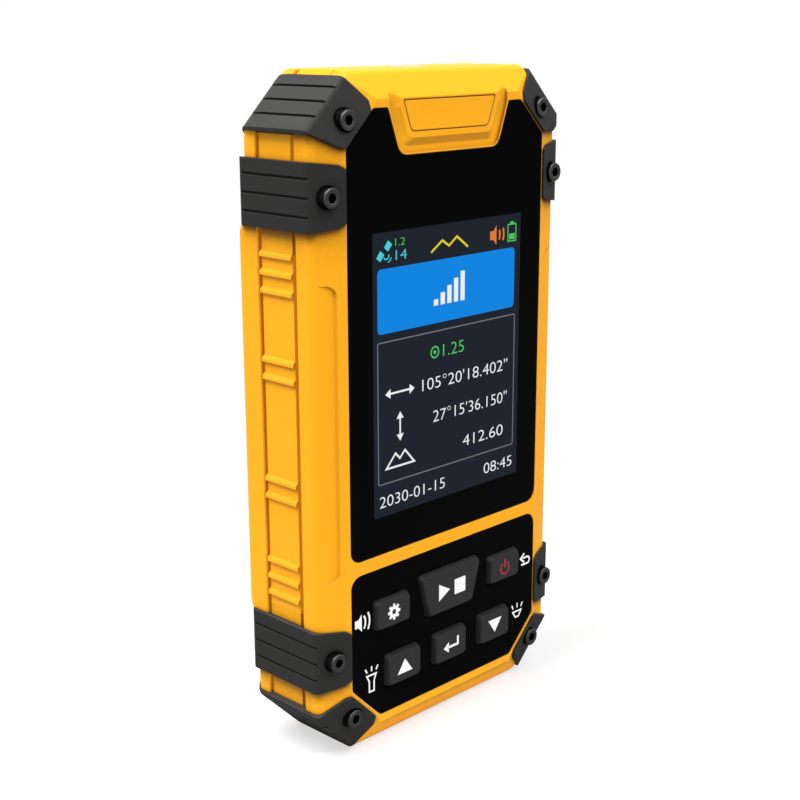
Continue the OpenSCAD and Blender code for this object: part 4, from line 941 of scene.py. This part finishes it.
class METER_OT_keys(bpy.types.Operator):
    """Dress the six keys and print a sign on each"""

    bl_idname = "meter.keys"
    bl_label = "Keys"

    def execute(self, context):
        look, edges = context.scene.meter_finish, context.scene.meter_edges
        grey = moulded("key_rubber", tuple(look.key), rough=0.5, grain=0.3 * MM,
                       relief=0.012 * MM, gloss=0.2)
        white, red = ink("legend_ink", tuple(look.legend)), ink("power_ink", tuple(look.power))
        lowered = KEY_TOP + LEGEND_SINK

        def sink_top(bm):
            for v in bm.verts:
                if v.co.y < KEY_TOP + 0.005 * MM:
                    v.co.y += LEGEND_SINK

        root, tip, bore = 1.45, 2.0, 0.62
        outline = [(45 * tooth + turn, radius) for tooth in range(8)
                   for turn, radius in ((-14, root), (-10, tip), (10, tip), (14, root))]
        gear = [on_circle(0, 0, radius, angle) for angle, radius in outline]
        hub = [on_circle(0, 0, bore, angle) for angle, radius in outline]
        spans = [(i, (i + 1) % len(gear)) for i in range(len(gear))]
        signs = {
            "key_settings": [[[hub[i], gear[i], gear[j], hub[j]] for i, j in spans]],
            "key_start_stop": [[[(-4.4, -2.1), (-0.6, 0), (-4.4, 2.1)]],
                               panel(1.0, -1.9, 4.8, 1.9, 0.25)],
            "key_power": [arc(0, -0.35, 1.5, 0.5, 125, 415),
                          stroke(((0, -0.2), (0, 2.0)), 0.55)],
            "key_up": [[[(-2.45, -1.7), (2.45, -1.7), (0, 1.75)]]],
            "key_enter": [stroke(((2.3, 1.7), (2.3, -0.4), (-1.2, -0.4)), 0.62),
                          [[(-2.7, -0.4), (-0.9, -1.75), (-0.9, 0.95)]]],
            "key_down": [[[(-2.45, 1.7), (0, -1.75), (2.45, 1.7)]]],
        }
        for key in KEY_BODIES:
            softened(key, edges.key, 3, grey, key, shape=sink_top)
            x, z = middle(key)
            bm = bmesh.new()
            for mark in signs[key]:
                raised(bm, moved(mark, x, z), lowered)
            printed(key + "_sign", bm, [red if key == "key_power" else white], key)
        give(circuit_board("key_board_green"), "key_board")
        return {"FINISHED"}


class METER_OT_inside(bpy.types.Operator):
    """Dress the boards, the battery and the other pieces inside"""

    bl_idname = "meter.inside"
    bl_label = "Inside"

    def execute(self, context):
        give(circuit_board("main_board_green"), "main_board")
        give(steel("shield_tin", (0.6, 0.61, 0.6), rough=0.28), "receiver_shield")
        give(ceramic("aerial_ceramic"), "aerial_patch")
        give(sleeved("battery_sleeve", (0.03, 0.16, 0.43), rough=0.25), "battery")
        give(steel("strap_steel", (0.5, 0.51, 0.52), rough=0.32), "battery_strap")
        give(moulded("speaker_black", (0.015, 0.015, 0.015), rough=0.6, grain=0.3 * MM,
                     relief=0.02 * MM), "speaker")
        give(moulded("lamp_white", (0.8, 0.8, 0.72), rough=0.3, grain=0.4 * MM,
                     relief=0.005 * MM), "torch_lamp")
        return {"FINISHED"}


class METER_OT_ports(bpy.types.Operator):
    """Dress the charging port, its cover and the torch window"""

    bl_idname = "meter.ports"
    bl_label = "Port and torch"

    def execute(self, context):
        cover_edge = 0.25 * MM
        rubber = moulded("cover_rubber", (0.022, 0.022, 0.022), rough=0.6, grain=0.3 * MM,
                         relief=0.02 * MM)
        softened("port_cover", cover_edge, 2, rubber, "port_cover")
        give(steel("socket_shell", (0.55, 0.56, 0.58), rough=0.25), "charge_socket")
        give(clear_window("torch_clear"), "torch_window")
        return {"FINISHED"}


class METER_OT_stage(bpy.types.Operator):
    """Set the floor, the lamps and the camera"""

    bl_idname = "meter.stage"
    bl_label = "Stage"

    def execute(self, context):
        scene = context.scene
        scene.view_settings.view_transform = "Standard"
        self.lay_floor(scene.meter_stage)
        scene.world = self.sky(scene.meter_stage)
        self.hang_lamps(scene.meter_stage)
        scene.camera = self.camera(scene.meter_stage)
        return {"FINISHED"}

    def lay_floor(self, stage):
        """Floor that looks white, keeps the shadow, sends little light up and is brighter round
        the foot."""
        half_width, drop = 30.0, 0.02 * MM
        foot_radius, foot_fade, foot_share = 40 * MM, 16.0, 0.95
        open_radius, open_fade, foot_glow = 100 * MM, 3.0, 0.6
        mirrored = (0.3, 0.3, 0.3)
        bm = bmesh.new()
        bmesh.ops.create_grid(bm, x_segments=8, y_segments=8, size=half_width)
        floor = link("floor", mesh_from("floor", bm))
        floor.location.z = -drop
        f = Finish("floor_white")
        seen = f.seen("Camera", "Transmission")
        bounce, shown = (stage.bounce,) * 3, tuple(stage.floor)
        away = f.vector("LENGTH", f.place(), output="Value")
        at_foot = (1.0 - (away - foot_radius) * foot_fade).clamped()
        sent_up = f.blend(at_foot * foot_share, bounce, shown)
        sent_up = f.blend(f.seen("Glossy"), sent_up, mirrored)
        shaded = f.add("ShaderNodeBsdfDiffuse", {}, {"Color": f.blend(seen, sent_up, shown)})
        glow = f.add("ShaderNodeEmission", {}, {"Color": (1.0, 1.0, 1.0, 1.0), "Strength": 1.0})
        open_floor = ((away - open_radius) * open_fade).clamped()
        glowing = seen * (foot_glow + open_floor * (1.0 - foot_glow))
        white = f.add("ShaderNodeMixShader", {}, {0: glowing, 1: shaded, 2: glow})
        floor.data.materials.append(f.closed(white))

    def sky(self, stage):
        """World that looks white and lights the meter evenly, with less than that."""
        f = Finish("studio", "worlds")
        shown = f.seen("Camera", "Glossy", "Transmission")
        strength = stage.sky + shown * (1.0 - stage.sky)
        light = f.add("ShaderNodeBackground", {}, {
            "Color": (1.0, 1.0, 1.0, 1.0), "Strength": strength})
        return f.closed(light, "ShaderNodeOutputWorld")

    def hang_lamps(self, stage):
        """Two large soft lamps, aimed at the middle of the meter."""
        aim = Vector((0.0, 0.0, 80 * MM))
        for name, power, size, place in (
                ("front_lamp", stage.key_light, 0.7, Vector((0.12, -0.75, 1.2))),
                ("side_lamp", stage.fill_light, 0.6, Vector((-0.62, 0.2, 1.15)))):
            light = bpy.data.lights.new(name, "AREA")
            light.energy = power
            light.size = size
            lamp = link(name, light)
            lamp.location = place
            lamp.rotation_euler = (aim - place).to_track_quat("-Z", "Y").to_euler()

    def camera(self, stage):
        """Camera at the photograph's angle."""
        turn, lift, tilt = stage.azimuth, stage.elevation, stage.roll
        back = Vector((math.sin(turn) * math.cos(lift), -math.cos(turn) * math.cos(lift),
                       math.sin(lift)))
        level = Vector((math.cos(turn), math.sin(turn), 0.0))
        upright = back.cross(level)
        right = math.cos(tilt) * level + math.sin(tilt) * upright
        up = math.cos(tilt) * upright - math.sin(tilt) * level
        place = Matrix((right, up, back)).transposed().to_4x4()
        place.translation = Vector(stage.target) + back * stage.distance
        data = bpy.data.cameras.new("camera")
        data.lens = stage.lens
        data.sensor_width = 36.0
        data.clip_start = 10 * MM
        camera = link("camera", data)
        camera.matrix_world = place
        return camera


SETTINGS = {"meter_finish": FinishSettings, "meter_edges": EdgeSettings,
            "meter_screen": ScreenSettings, "meter_stage": StageSettings}
OPERATORS = (METER_OT_casing, METER_OT_guards, METER_OT_screws, METER_OT_panels, METER_OT_screen,
             METER_OT_keys, METER_OT_inside, METER_OT_ports, METER_OT_stage)


class METER_PT_sidebar(bpy.types.Panel):
    """Lists the meter's pieces and their settings"""

    bl_idname = "METER_PT_sidebar"
    bl_label = "Land area meter"
    bl_space_type = "VIEW_3D"
    bl_region_type = "UI"
    bl_category = "Meter"

    def draw(self, context):
        for operator in OPERATORS:
            self.layout.operator(operator.bl_idname)
        for name in SETTINGS:
            settings = getattr(context.scene, name)
            box = self.layout.box()
            for prop in settings.bl_rna.properties:
                if not prop.is_readonly and prop.identifier != "name":
                    box.prop(settings, prop.identifier)


CLASSES = (*SETTINGS.values(), *OPERATORS, METER_PT_sidebar)


def register():
    for cls in CLASSES:
        bpy.utils.register_class(cls)
    for name, cls in SETTINGS.items():
        setattr(bpy.types.Scene, name, bpy.props.PointerProperty(type=cls))


def unregister():
    for name in SETTINGS:
        delattr(bpy.types.Scene, name)
    for cls in reversed(CLASSES):
        bpy.utils.unregister_class(cls)


def main():
    register()
    for operator in OPERATORS:
        group, name = operator.bl_idname.split(".")
        getattr(getattr(bpy.ops, group), name)()


if __name__ == "__main__":
    main()
